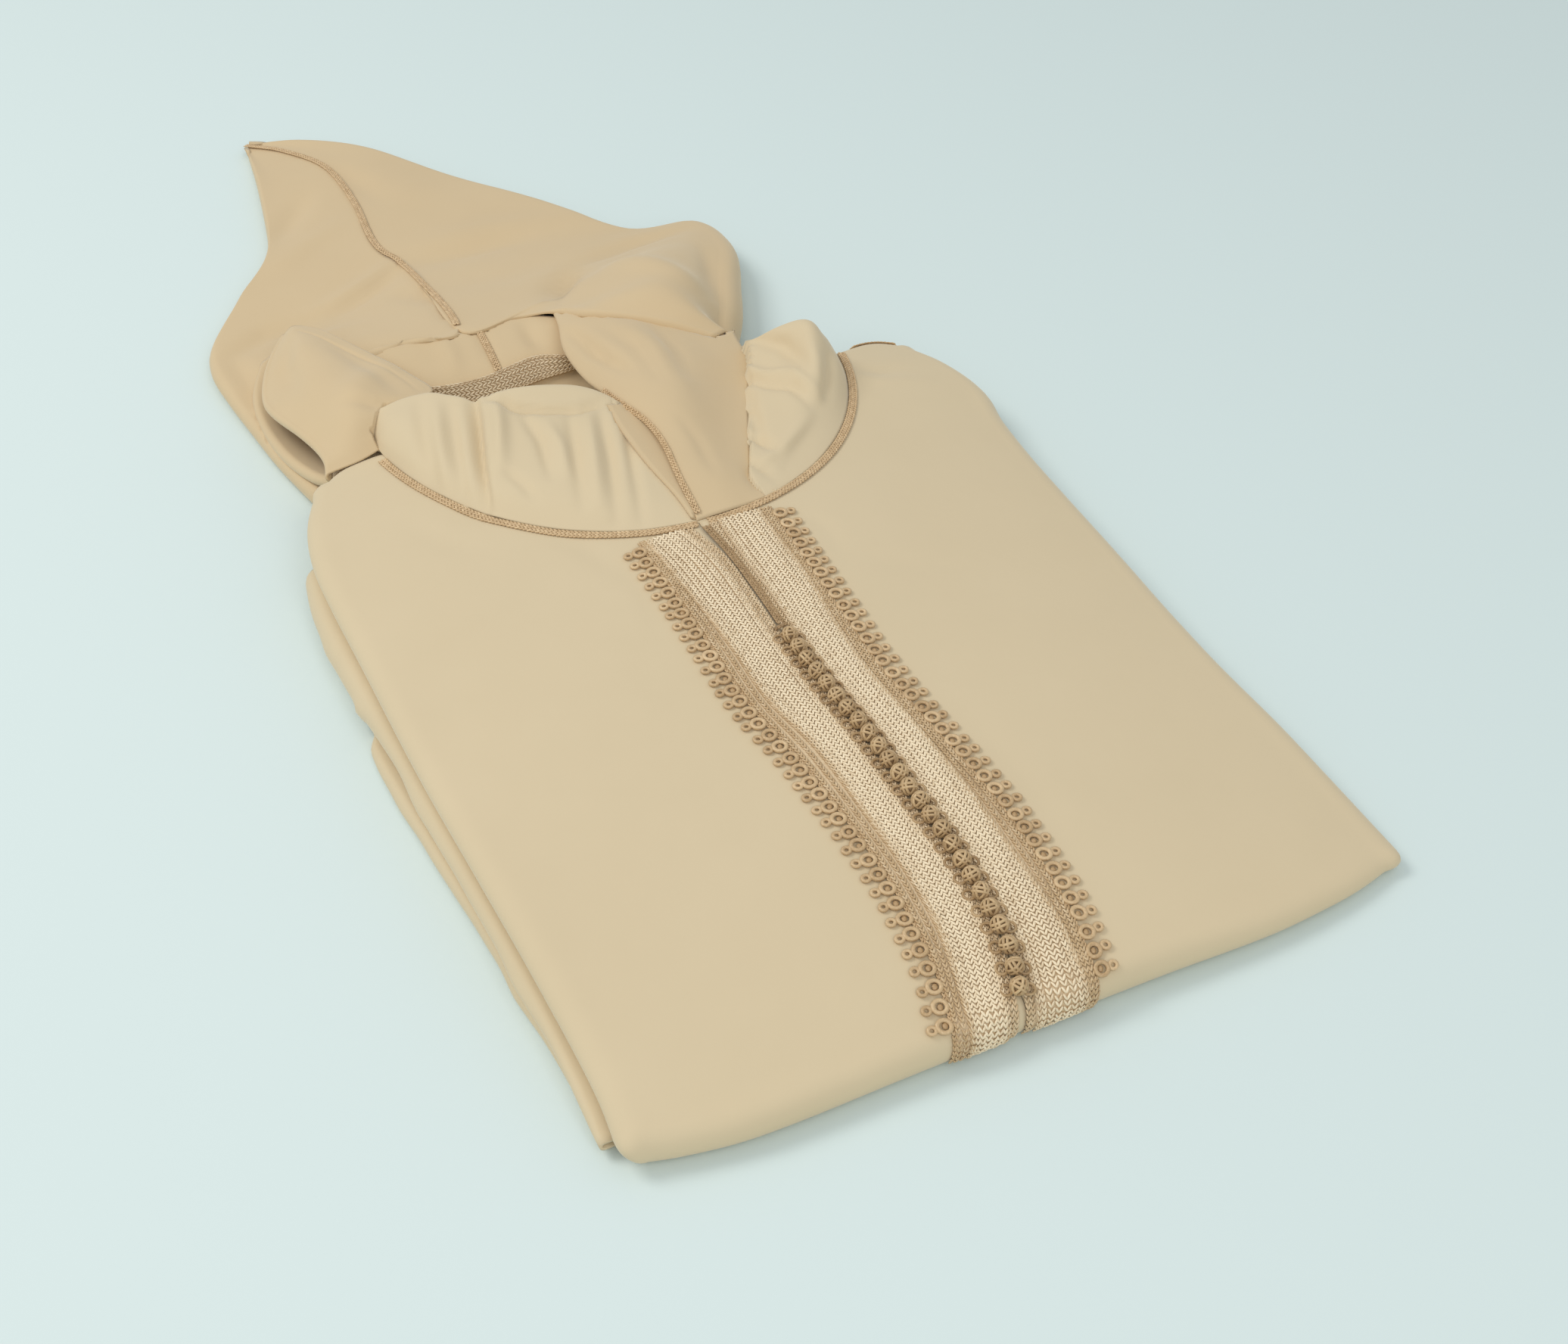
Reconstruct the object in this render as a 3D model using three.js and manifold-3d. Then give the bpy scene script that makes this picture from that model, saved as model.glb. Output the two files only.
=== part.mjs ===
// A folded djellaba: the packet of the body, the hood laid out above it, and its silk trim.
// Millimetres. +X runs to the right across the garment, +Y towards the hood's tip, +Z up.
// The origin lies on the flat underside, in the middle of the folded packet.
import * as THREE from 'three';
import Module from 'manifold-3d';
import { mergeVertices } from 'three/addons/utils/BufferGeometryUtils.js';

const wasm = await Module();
wasm.setup();

// ---------------------------------------------------------------- driving dimensions
const CLOTH = 1.7; // wall of one folded cloth layer
const GAP = 0.35; // clear space between touching pieces
const EDGE_REACH = 12; // how far the packet's edges round over, in plan
const UNDER_LIP = 10; // cloth turned under the packet and the hood
const TOP_LAYER = 15; // thickness of the folded layer that carries the front
const POINTED = { left: 0.7, right: 0.5 }; // how far the lower corners are drawn out
const PACKET_MIDDLE_X = -5; // where the packet stands highest
const NECK = { x: -3, y: 284, halfWidth: 141, depth: 162 }; // the neck seam, half an ellipse
const BRAID = { lift: 0.35, shoulder: 0.9, body: 1.9, rib: 0.45 }; // flat woven band
const PICOT = { pitch: 9, thick: 1.5, notch: 2.6, ring: 8.4, tip: 12.8 }; // looped edging
const KNOT = { radius: 4.4, pitch: 9.7, first: 15, count: 25 }; // ball buttons
const BAND_TOP = 116; // where the bands come out from under the throat
const SEAM_CORD = { width: 4.4, height: 1.7 };
const FACING = 1.4; // thickness of the braid inside the face opening
const FINE_CORD = { width: 3.2, height: 1.5 };
const CLOTH_COLOUR = 0xd8c4a0;
const TRIM_COLOUR = 0xc9ac7c;
const KNOT_COLOUR = 0xa88658;

// Plan outline of the packet: its left and right edges at each distance up the garment.
const SIDES = [
  { y: -226, left: -191, right: 214 },
  { y: -195, left: -190, right: 212 },
  { y: -134, left: -193, right: 208 },
  { y: -61, left: -197, right: 203 },
  { y: 20, left: -201, right: 202 },
  { y: 120, left: -203, right: 201 },
  { y: 172, left: -204, right: 203 },
  { y: 206, left: -203, right: 207 },
  { y: 235, left: -197, right: 201 },
  { y: 250, left: -187, right: 191 },
  { y: 264, left: -172, right: 176 },
];
// The bottom fold and the shoulder edge at each place across the garment.
const ENDS = [
  { x: -193, bottom: -221, top: 240 },
  { x: -165, bottom: -228, top: 264 },
  { x: -130, bottom: -232, top: 266 },
  { x: -60, bottom: -230, top: 264 },
  { x: 0, bottom: -228, top: 262 },
  { x: 70, bottom: -226, top: 259 },
  { x: 130, bottom: -225, top: 258 },
  { x: 166, bottom: -221, top: 268 },
  { x: 186, bottom: -217, top: 257 },
  { x: 212, bottom: -209, top: 232 },
];
// Height of the packet's top face along its left edge, its middle and its right edge.
const HEIGHTS = [
  { y: -219, left: 20, middle: 22, right: 10 },
  { y: -205, left: 25, middle: 27, right: 12 },
  { y: -190, left: 29, middle: 31, right: 14 },
  { y: -150, left: 34, middle: 35, right: 18 },
  { y: -100, left: 37, middle: 39, right: 21 },
  { y: 0, left: 38, middle: 44, right: 24 },
  { y: 110, left: 38, middle: 46, right: 26 },
  { y: 200, left: 38, middle: 46, right: 27 },
  { y: 250, left: 36, middle: 44, right: 26 },
];
// Edges of the two woven bands: the tan shoulder outside, the plait, and the edge at the slit.
const BANDS = {
  left: [
    { y: 118, outer: -44, plait: -41, inner: -19 },
    { y: 90, outer: -43, plait: -38, inner: -12 },
    { y: 50, outer: -42, plait: -35, inner: -11 },
    { y: 20, outer: -42, plait: -33, inner: -11 },
    { y: -20, outer: -41, plait: -32, inner: -9 },
    { y: -60, outer: -35, plait: -24, inner: -6 },
    { y: -110, outer: -30, plait: -21, inner: -3 },
    { y: -145, outer: -28, plait: -19, inner: 0 },
    { y: -175, outer: -29, plait: -20, inner: 0 },
    { y: -200, outer: -31, plait: -24, inner: -3 },
    { y: -225, outer: -36, plait: -28, inner: -9 },
    { y: -260, outer: -42, plait: -33, inner: -14 },
  ],
  right: [
    { y: 118, outer: 30, plait: 24, inner: 0 },
    { y: 90, outer: 29, plait: 24, inner: 0 },
    { y: 50, outer: 28, plait: 24, inner: 1 },
    { y: 20, outer: 28, plait: 22, inner: 1 },
    { y: -20, outer: 28, plait: 22, inner: 4 },
    { y: -60, outer: 32, plait: 26, inner: 8 },
    { y: -110, outer: 38, plait: 30, inner: 10 },
    { y: -145, outer: 40, plait: 31, inner: 12 },
    { y: -175, outer: 40, plait: 32, inner: 11 },
    { y: -200, outer: 38, plait: 32, inner: 9 },
    { y: -225, outer: 35, plait: 30, inner: 4 },
    { y: -260, outer: 31, plait: 26, inner: -1 },
  ],
};
// The line of knots, which runs on over the bottom fold.
const KNOT_LINE = [
  { y: 118, x: -9 },
  { y: 90, x: -6 },
  { y: 50, x: -5 },
  { y: 20, x: -5 },
  { y: -20, x: -3 },
  { y: -60, x: 1 },
  { y: -110, x: 4 },
  { y: -145, x: 6 },
  { y: -175, x: 5 },
  { y: -200, x: 3 },
  { y: -225, x: -3 },
  { y: -260, x: -8 },
];
// The two rolled folds of the body that show below the left edge of the top layer.
const SIDE_FOLDS = {
  side_fold_upper: [
    { y: 206, outer: -203, reach: 14, low: 0.3, high: 0.75 },
    { y: 198, outer: -207, reach: 24, low: 0.2, high: 0.95 },
    { y: 150, outer: -211, reach: 28, low: 0.15, high: 0.97 },
    { y: 90, outer: -209, reach: 26, low: 0.3, high: 1 },
    { y: 40, outer: -206, reach: 24, low: 0.47, high: 1 },
    { y: -60, outer: -201, reach: 24, low: 0.5, high: 1 },
    { y: -140, outer: -197, reach: 24, low: 0.5, high: 1 },
    { y: -209, outer: -195, reach: 22, low: 0.44, high: 1 },
  ],
  side_fold_lower: [
    { y: 82, outer: -204, reach: 16, low: 0, high: 0.26 },
    { y: 66, outer: -211, reach: 26, low: 0, high: 0.34 },
    { y: 0, outer: -208, reach: 28, low: 0, high: 0.44 },
    { y: -90, outer: -200, reach: 26, low: 0, high: 0.46 },
    { y: -160, outer: -195, reach: 24, low: 0, high: 0.46 },
    { y: -206, outer: -192, reach: 22, low: 0, high: 0.38 },
  ],
};
// ---------------------------------------------------------------- numbers from the tables
const vec = (p) => new THREE.Vector3(p[0], p[1], p[2]);
const clamp = (value, low, high) => Math.min(high, Math.max(low, value));

/** Read a named column at a station between rows, along a smooth curve. */
function read(table, by, at, name) {
  const rows = table[0][by] < table[table.length - 1][by] ? table : [...table].reverse();
  const last = rows.length - 1;
  if (at <= rows[0][by]) return rows[0][name];
  if (at >= rows[last][by]) return rows[last][name];
  let k = 0;
  while (at > rows[k + 1][by]) k += 1;
  const slope = (i) => {
    const a = rows[Math.max(0, i - 1)];
    const b = rows[Math.min(last, i + 1)];
    return (b[name] - a[name]) / (b[by] - a[by]);
  };
  const span = rows[k + 1][by] - rows[k][by];
  const t = (at - rows[k][by]) / span;
  const rise = rows[k + 1][name] - rows[k][name];
  const start = slope(k) * span;
  const end = slope(k + 1) * span;
  return rows[k][name] + start * t + (3 * rise - 2 * start - end) * t * t + (start + end - 2 * rise) * t ** 3;
}

/** Points of a smooth curve through a list of points, evenly spread over its spans. */
function through(points, steps) {
  const curve = new THREE.CatmullRomCurve3(points, false, 'catmullrom', 0.5);
  return Array.from({ length: steps + 1 }, (_, i) => curve.getPoint(i / steps));
}

/** A grid of points woven through a table: rows run along the piece, named columns across it. */
function weave(table, names, along, across) {
  const rails = names.map((name) => through(table.map((row) => vec(row[name])), along));
  return Array.from({ length: along + 1 }, (_, i) => through(rails.map((rail) => rail[i]), across));
}

// ---------------------------------------------------------------- walls
/** Unit normals of a grid of points, pointing up on average. */
function gridNormals(grid) {
  const rows = grid.length - 1;
  const columns = grid[0].length - 1;
  const normals = grid.map((row, i) => row.map((_, j) => {
    const along = grid[Math.min(rows, i + 1)][j].clone().sub(grid[Math.max(0, i - 1)][j]);
    const across = grid[i][Math.min(columns, j + 1)].clone().sub(grid[i][Math.max(0, j - 1)]);
    return along.cross(across).normalize();
  }));
  const lift = normals.flat().reduce((sum, n) => sum + n.z, 0);
  return lift < 0 ? normals.map((row) => row.map((n) => n.negate())) : normals;
}

/** Push a grid out along its normals. */
function offset(grid, distance) {
  const normals = gridNormals(grid);
  return grid.map((row, i) => row.map((p, j) => p.clone().addScaledVector(normals[i][j], distance)));
}

/** A closed solid between two grids of the same size. */
function between(upper, lower) {
  const rows = upper.length;
  const columns = upper[0].length;
  const points = [...upper.flat(), ...lower.flat()];
  const base = rows * columns;
  const faces = [];
  const quad = (a, b, c, d) => faces.push([a, b, c], [a, c, d]);
  const at = (i, j) => i * columns + j;
  for (let i = 0; i < rows - 1; i += 1) {
    for (let j = 0; j < columns - 1; j += 1) {
      quad(at(i, j), at(i, j + 1), at(i + 1, j + 1), at(i + 1, j));
      quad(base + at(i, j), base + at(i + 1, j), base + at(i + 1, j + 1), base + at(i, j + 1));
    }
  }
  for (let j = 0; j < columns - 1; j += 1) {
    quad(at(0, j), base + at(0, j), base + at(0, j + 1), at(0, j + 1));
    quad(at(rows - 1, j), at(rows - 1, j + 1), base + at(rows - 1, j + 1), base + at(rows - 1, j));
  }
  const end = columns - 1;
  for (let i = 0; i < rows - 1; i += 1) {
    quad(at(i, 0), at(i + 1, 0), base + at(i + 1, 0), base + at(i, 0));
    quad(at(i, end), base + at(i, end), base + at(i + 1, end), at(i + 1, end));
  }
  return closedGeometry(points, faces);
}

/** A geometry from points and triangles, turned so that its faces point out. */
function closedGeometry(points, faces) {
  const geometry = new THREE.BufferGeometry();
  const numbers = points.flatMap((p) => [p.x, p.y, p.z]);
  geometry.setAttribute('position', new THREE.Float32BufferAttribute(numbers, 3));
  let volume = 0;
  for (const [a, b, c] of faces) volume += points[a].dot(points[b].clone().cross(points[c]));
  const turned = volume < 0 ? faces.map(([a, b, c]) => [a, c, b]) : faces;
  geometry.setIndex(turned.flat());
  return geometry;
}

/** A cloth wall under a grid, which is its outer face. */
function wall(grid, thickness = CLOTH) {
  return between(grid, offset(grid, -thickness));
}

/** The same wall with clear space added all round, to cut room for it in what lies below. */
function roomFor(grid, thickness = CLOTH, clear = GAP) {
  const grow = (line) => {
    const end = line.length - 1;
    const step = (a, b) => a.clone().addScaledVector(a.clone().sub(b).normalize(), clear);
    return line.map((p, k) => (k === 0 ? step(p, line[1]) : k === end ? step(p, line[end - 1]) : p));
  };
  const wide = grid.map(grow);
  const turned = wide[0].map((_, j) => grow(wide.map((row) => row[j])));
  const grown = turned[0].map((_, i) => turned.map((column) => column[i]));
  return between(offset(grown, clear), offset(grown, -thickness - clear));
}

// ---------------------------------------------------------------- joining and cutting
function toSolid(geometry) {
  const bare = geometry.clone();
  bare.deleteAttribute('normal');
  bare.deleteAttribute('uv');
  const merged = mergeVertices(bare, 1e-4);
  return new wasm.Manifold(new wasm.Mesh({
    numProp: 3,
    vertProperties: new Float32Array(merged.attributes.position.array),
    triVerts: new Uint32Array(merged.index.array),
  }));
}

/** The largest connected body of a solid, as a geometry. */
function largestBody(solid) {
  const mesh = solid.getMesh();
  const parent = Array.from({ length: mesh.vertProperties.length / mesh.numProp }, (_, i) => i);
  const root = (i) => {
    let k = i;
    while (parent[k] !== k) k = parent[k];
    parent[i] = k;
    return k;
  };
  const count = mesh.triVerts.length / 3;
  const triangles = Array.from({ length: count }, (_, i) => [...mesh.triVerts.slice(3 * i, 3 * i + 3)]);
  for (const [a, b, c] of triangles) {
    parent[root(b)] = root(a);
    parent[root(c)] = root(a);
  }
  const tally = new Map();
  for (const [a] of triangles) tally.set(root(a), (tally.get(root(a)) ?? 0) + 1);
  const main = [...tally.entries()].sort((p, q) => q[1] - p[1])[0][0];
  const kept = triangles.filter(([a]) => root(a) === main);
  const used = [...new Set(kept.flat())];
  const renumber = new Map(used.map((old, fresh) => [old, fresh]));
  const points = used.map((i) => new THREE.Vector3(...mesh.vertProperties.slice(3 * i, 3 * i + 3)));
  return closedGeometry(points, kept.map((face) => face.map((i) => renumber.get(i))));
}

/** Cut tools out of a geometry and keep the main body. */
function cut(geometry, tools) {
  let solid = toSolid(geometry);
  for (const tool of tools) solid = solid.subtract(toSolid(tool));
  return largestBody(solid);
}

// ---------------------------------------------------------------- the packet
const leftInset = (y) => read(SIDES, 'y', y, 'left') + EDGE_REACH;
const rightInset = (y) => read(SIDES, 'y', y, 'right') - EDGE_REACH;
const bottomInset = (x) => read(ENDS, 'x', x, 'bottom') + EDGE_REACH;
const topInset = (x) => read(ENDS, 'x', x, 'top') - EDGE_REACH;

/** Height of the packet's top face. */
function heightAt(x, y) {
  const middle = read(HEIGHTS, 'y', y, 'middle');
  if (x < PACKET_MIDDLE_X) {
    const t = clamp((PACKET_MIDDLE_X - x) / (PACKET_MIDDLE_X - leftInset(y)), 0, 1);
    return middle + (read(HEIGHTS, 'y', y, 'left') - middle) * t ** 2.2;
  }
  const t = clamp((x - PACKET_MIDDLE_X) / (rightInset(y) - PACKET_MIDDLE_X), 0, 1);
  return middle + (read(HEIGHTS, 'y', y, 'right') - middle) * t ** 1.9;
}

/** A point of the packet's skin: u and v inside the edges, a and b the turn over them (0 to 1, 2 the lip). */
function packetSkin(u, v, a, b, whole = false) {
  const nominalY = THREE.MathUtils.lerp(-214, 250, v);
  const x = THREE.MathUtils.lerp(leftInset(nominalY), rightInset(nominalY), u);
  const y = THREE.MathUtils.lerp(bottomInset(x), topInset(x), v);
  const h = heightAt(x, y);
  const m = Math.max(Math.abs(a), Math.abs(b));
  if (m === 0) return new THREE.Vector3(x, y, h);
  const share = Math.abs(a) >= Math.abs(b) ? Math.abs(b / a) : 2 - Math.abs(a / b);
  const angle = share * (Math.PI / 4);
  const drawnOut = a > 0 ? POINTED.right : POINTED.left;
  const sharp = a !== 0 && b < 0 ? drawnOut : 1;
  const dx = Math.sign(a) * Math.cos(angle) ** sharp;
  const dy = Math.sign(b) * Math.sin(angle) ** sharp;
  const open = whole ? 0 : clamp((dx < 0 ? dx * dx : 0) + (dy > 0 ? dy * dy : 0), 0, 1);
  const low = Math.max(0, h - TOP_LAYER) * open;
  const half = (h - low) / 2;
  const turn = Math.min(m, 1) * Math.PI;
  const reach = EDGE_REACH * Math.sin(turn) - Math.max(0, m - 1) * UNDER_LIP;
  return new THREE.Vector3(x + dx * reach, y + dy * reach, low + half * (1 + Math.cos(turn)));
}

/** A place on the front, x across and q along, q running on over the bottom fold, with its frame. */
function onFront(x, q) {
  const place = (px, pq) => {
    const edge = bottomInset(px);
    if (pq >= edge) return new THREE.Vector3(px, pq, heightAt(px, pq));
    const half = heightAt(px, edge) / 2;
    const turn = Math.min((edge - pq) / ((EDGE_REACH + half) / 2), Math.PI);
    return new THREE.Vector3(px, edge - EDGE_REACH * Math.sin(turn), half * (1 + Math.cos(turn)));
  };
  const p = place(x, q);
  const side = place(x + 0.5, q).sub(place(x - 0.5, q)).normalize();
  const along = place(x, q - 0.5).sub(place(x, q + 0.5)).normalize();
  const up = along.clone().cross(side).normalize();
  if (up.z < -0.999 || up.lengthSq() < 0.5) up.set(0, 0, 1);
  return { p, side, up: up.clone(), along };
}

const RIM = [0, 0.25, 0.5, 0.75, 1, 2];
const rimOut = [...RIM].reverse().slice(0, -1);
// Stations along and across the packet, closer together towards its corners.
const ALONG = [0, 0.03, 0.08, 0.16, 0.26, 0.38, 0.5, 0.62, 0.73, 0.82, 0.88, 0.93, 0.97, 1];
const ACROSS = [0, 0.06, 0.14, 0.26, 0.42, 0.6, 0.8, 1];

/** Grid of one half of the front, from a side edge to the placket slit. */
function frontGrid(sign) {
  const grid = [];
  const slitU = (v) => {
    const y = THREE.MathUtils.lerp(-214, 250, v);
    const slit = read(KNOT_LINE, 'y', y, 'x') + sign * GAP;
    return (slit - leftInset(y)) / (rightInset(y) - leftInset(y));
  };
  const stations = [
    ...rimOut.map((m) => ({ v: 0, b: -m })),
    ...ALONG.map((v) => ({ v, b: 0 })),
    ...RIM.slice(1).map((m) => ({ v: 1, b: m })),
  ];
  for (const { v, b } of stations) {
    const row = [];
    const edgeU = sign < 0 ? 0 : 1;
    for (const m of rimOut) row.push(packetSkin(edgeU, v, sign * m, b));
    for (const t of ACROSS) row.push(packetSkin(edgeU + (slitU(v) - edgeU) * t, v, 0, b));
    grid.push(row);
  }
  return grid;
}

/** The neck opening as a tall prism that is cut from the front. */
function neckPrism() {
  const shape = new THREE.Shape();
  const steps = 36;
  for (let i = 0; i <= steps; i += 1) {
    const angle = Math.PI + (Math.PI * i) / steps;
    const x = NECK.x + NECK.halfWidth * Math.cos(angle);
    const y = NECK.y + NECK.depth * Math.sin(angle);
    if (i === 0) shape.moveTo(x, y);
    else shape.lineTo(x, y);
  }
  shape.lineTo(NECK.x + NECK.halfWidth, NECK.y + 60);
  shape.lineTo(NECK.x - NECK.halfWidth, NECK.y + 60);
  const geometry = new THREE.ExtrudeGeometry(shape, { depth: 200, bevelEnabled: false });
  geometry.translate(0, 0, -50);
  return geometry;
}

/** A closed loft between rings of equal length, capped by fans. */
function loft(rings) {
  const n = rings[0].length;
  const points = rings.flat();
  const faces = [];
  for (let i = 0; i < rings.length - 1; i += 1) {
    for (let j = 0; j < n; j += 1) {
      const k = (j + 1) % n;
      faces.push([i * n + j, i * n + k, (i + 1) * n + k], [i * n + j, (i + 1) * n + k, (i + 1) * n + j]);
    }
  }
  const lastRing = rings.length - 1;
  for (const [ring, first, turn] of [[rings[0], 0, 1], [rings[lastRing], lastRing * n, 0]]) {
    const centre = ring.reduce((sum, p) => sum.add(p), new THREE.Vector3()).multiplyScalar(1 / n);
    points.push(centre);
    const c = points.length - 1;
    for (let j = 0; j < n; j += 1) {
      const k = (j + 1) % n;
      faces.push(turn ? [c, first + k, first + j] : [c, first + j, first + k]);
    }
  }
  return closedGeometry(points, faces);
}

/** The packet's hidden layers: one rounded solid with layered edges and a flat underside. */
function packetCore() {
  const columns = 8;
  const rows = 10;
  const inward = CLOTH + 3 * GAP;
  const top = [];
  for (let i = 0; i <= rows; i += 1) {
    const line = [];
    for (let j = 0; j <= columns; j += 1) line.push(packetSkin(j / columns, i / rows, 0, 0, true));
    top.push(line);
  }
  const loopOf = (fn) => {
    const loop = [];
    for (let j = 0; j < columns; j += 1) loop.push(fn(j / columns, 0, j === 0 ? -1 : 0, -1));
    for (let i = 0; i < rows; i += 1) loop.push(fn(1, i / rows, 1, i === 0 ? -1 : 0));
    for (let j = columns; j > 0; j -= 1) loop.push(fn(j / columns, 1, j === columns ? 1 : 0, 1));
    for (let i = rows; i > 0; i -= 1) loop.push(fn(0, i / rows, -1, i === rows ? 1 : 0));
    return loop;
  };
  const layers = [0, 1, 2, 3, 4, 5, 6, 7];
  const rings = layers.map((k) => loopOf((u, v, a, b) => {
    const m = k / (layers.length - 1);
    const p = packetSkin(u, v, 0, 0, true);
    const full = packetSkin(u, v, a * m, b * m, true);
    const h = p.z - inward;
    const groove = k % 2 === 1 ? 2.2 : 0;
    const out = m === 0 ? new THREE.Vector3() : new THREE.Vector3(full.x - p.x, full.y - p.y, 0);
    const reach = Math.max(0, out.length() - inward - groove);
    if (out.length() > 0) out.setLength(reach);
    const z = clamp(full.z - inward * Math.cos(m * Math.PI), 2.6, h);
    return new THREE.Vector3(p.x + out.x, p.y + out.y, z);
  }));
  const lip = UNDER_LIP + 2;
  for (const level of [2.6, 0]) {
    rings.push(loopOf((u, v, a, b) => {
      const p = packetSkin(u, v, 0, 0, true);
      return new THREE.Vector3(p.x - Math.sign(a) * lip, p.y - Math.sign(b) * lip, level);
    }));
  }
  const n = rings[0].length;
  const points = rings.flat();
  const faces = [];
  for (let i = 0; i < rings.length - 1; i += 1) {
    for (let j = 0; j < n; j += 1) {
      const k = (j + 1) % n;
      faces.push([i * n + j, (i + 1) * n + j, (i + 1) * n + k], [i * n + j, (i + 1) * n + k, i * n + k]);
    }
  }
  const loopIndex = new Map();
  let position = 0;
  for (let j = 0; j < columns; j += 1) loopIndex.set(`0,${j}`, position++);
  for (let i = 0; i < rows; i += 1) loopIndex.set(`${i},${columns}`, position++);
  for (let j = columns; j > 0; j -= 1) loopIndex.set(`${rows},${j}`, position++);
  for (let i = rows; i > 0; i -= 1) loopIndex.set(`${i},0`, position++);
  const indexAt = (i, j) => {
    const key = `${i},${j}`;
    if (loopIndex.has(key)) return loopIndex.get(key);
    const p = top[i][j];
    points.push(new THREE.Vector3(p.x, p.y, p.z - inward));
    loopIndex.set(key, points.length - 1);
    return points.length - 1;
  };
  for (let i = 0; i < rows; i += 1) {
    for (let j = 0; j < columns; j += 1) {
      const [a, b, c, d] = [indexAt(i, j), indexAt(i, j + 1), indexAt(i + 1, j + 1), indexAt(i + 1, j)];
      faces.push([a, b, c], [a, c, d]);
    }
  }
  const bottomFirst = (rings.length - 1) * n;
  points.push(new THREE.Vector3(0, 10, 0));
  const middle = points.length - 1;
  for (let j = 0; j < n; j += 1) faces.push([middle, bottomFirst + ((j + 1) % n), bottomFirst + j]);
  return closedGeometry(points, faces);
}

/** A rounded mound of hidden layers: sections across, flat below. */
function mound(table) {
  const rings = table.map(({ y, left, right, leftTop, rightTop }) => {
    const round = Math.min(6, leftTop / 2, rightTop / 2);
    const at = (x, z) => new THREE.Vector3(x, y, z);
    return [
      at(left + round, 0), at(left, round), at(left, leftTop - round), at(left + round, leftTop),
      at((2 * left + right) / 3, (2 * leftTop + rightTop) / 3),
      at((left + 2 * right) / 3, (leftTop + 2 * rightTop) / 3),
      at(right - round, rightTop), at(right, rightTop - round), at(right, round), at(right - round, 0),
    ];
  });
  return loft(rings);
}

const MOUNDS = {
  hoodBack: [
    { y: 660, left: -94, right: -74, leftTop: 5, rightTop: 5 },
    { y: 620, left: -112, right: -46, leftTop: 6, rightTop: 6 },
    { y: 575, left: -118, right: -6, leftTop: 7, rightTop: 7 },
    { y: 525, left: -132, right: 36, leftTop: 7, rightTop: 7 },
    { y: 480, left: -160, right: 66, leftTop: 7, rightTop: 7 },
    { y: 430, left: -180, right: 92, leftTop: 7, rightTop: 7 },
    { y: 385, left: -180, right: 96, leftTop: 7, rightTop: 7 },
    { y: 330, left: -172, right: 90, leftTop: 6, rightTop: 6 },
    { y: 225, left: -160, right: 80, leftTop: 6, rightTop: 6 },
  ],
  left: [
    { y: 225, left: -166, right: -104, leftTop: 32, rightTop: 36 },
    { y: 262, left: -164, right: -118, leftTop: 30, rightTop: 38 },
    { y: 300, left: -160, right: -124, leftTop: 16, rightTop: 38 },
    { y: 345, left: -162, right: -132, leftTop: 12, rightTop: 26 },
    { y: 380, left: -156, right: -140, leftTop: 10, rightTop: 16 },
  ],
  right: [
    { y: 225, left: 2, right: 118, leftTop: 40, rightTop: 36 },
    { y: 262, left: 4, right: 112, leftTop: 42, rightTop: 34 },
    { y: 300, left: 10, right: 84, leftTop: 38, rightTop: 30 },
    { y: 335, left: 18, right: 96, leftTop: 26, rightTop: 26 },
    { y: 370, left: 34, right: 104, leftTop: 22, rightTop: 22 },
    { y: 405, left: 50, right: 108, leftTop: 16, rightTop: 16 },
  ],
};

/** A rolled fold of the body along the left edge, open towards the packet. */
function sideFoldGrid(table) {
  const steps = 11;
  return Array.from({ length: steps + 1 }, (_, i) => {
    const y = THREE.MathUtils.lerp(table[0].y, table[table.length - 1].y, i / steps);
    const outer = read(table, 'y', y, 'outer');
    const reach = read(table, 'y', y, 'reach');
    const stack = Math.max(9.6, read(HEIGHTS, 'y', y, 'left') - TOP_LAYER - 1);
    const low = stack * read(table, 'y', y, 'low');
    const radius = (stack * read(table, 'y', y, 'high') - low) / 2;
    const row = [new THREE.Vector3(outer + reach, y, low + 2 * radius)];
    for (let k = 0; k <= 5; k += 1) {
      const angle = (Math.PI * k) / 5;
      const x = outer + radius * (1 - Math.sin(angle));
      row.push(new THREE.Vector3(x, y, low + radius * (1 + Math.cos(angle))));
    }
    row.push(new THREE.Vector3(outer + radius + 6, y, low));
    return row;
  });
}

// ---------------------------------------------------------------- the hood and the throat
/** A point of the neck seam at an angle of its half ellipse, just inside the front's edge. */
function seamPoint(degrees, rise = 0.3) {
  const angle = THREE.MathUtils.degToRad(degrees);
  const x = NECK.x + (NECK.halfWidth - 0.6) * Math.cos(angle);
  const y = NECK.y + (NECK.depth - 0.6) * Math.sin(angle);
  return [x, y, heightAt(x, y) + rise];
}

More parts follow.
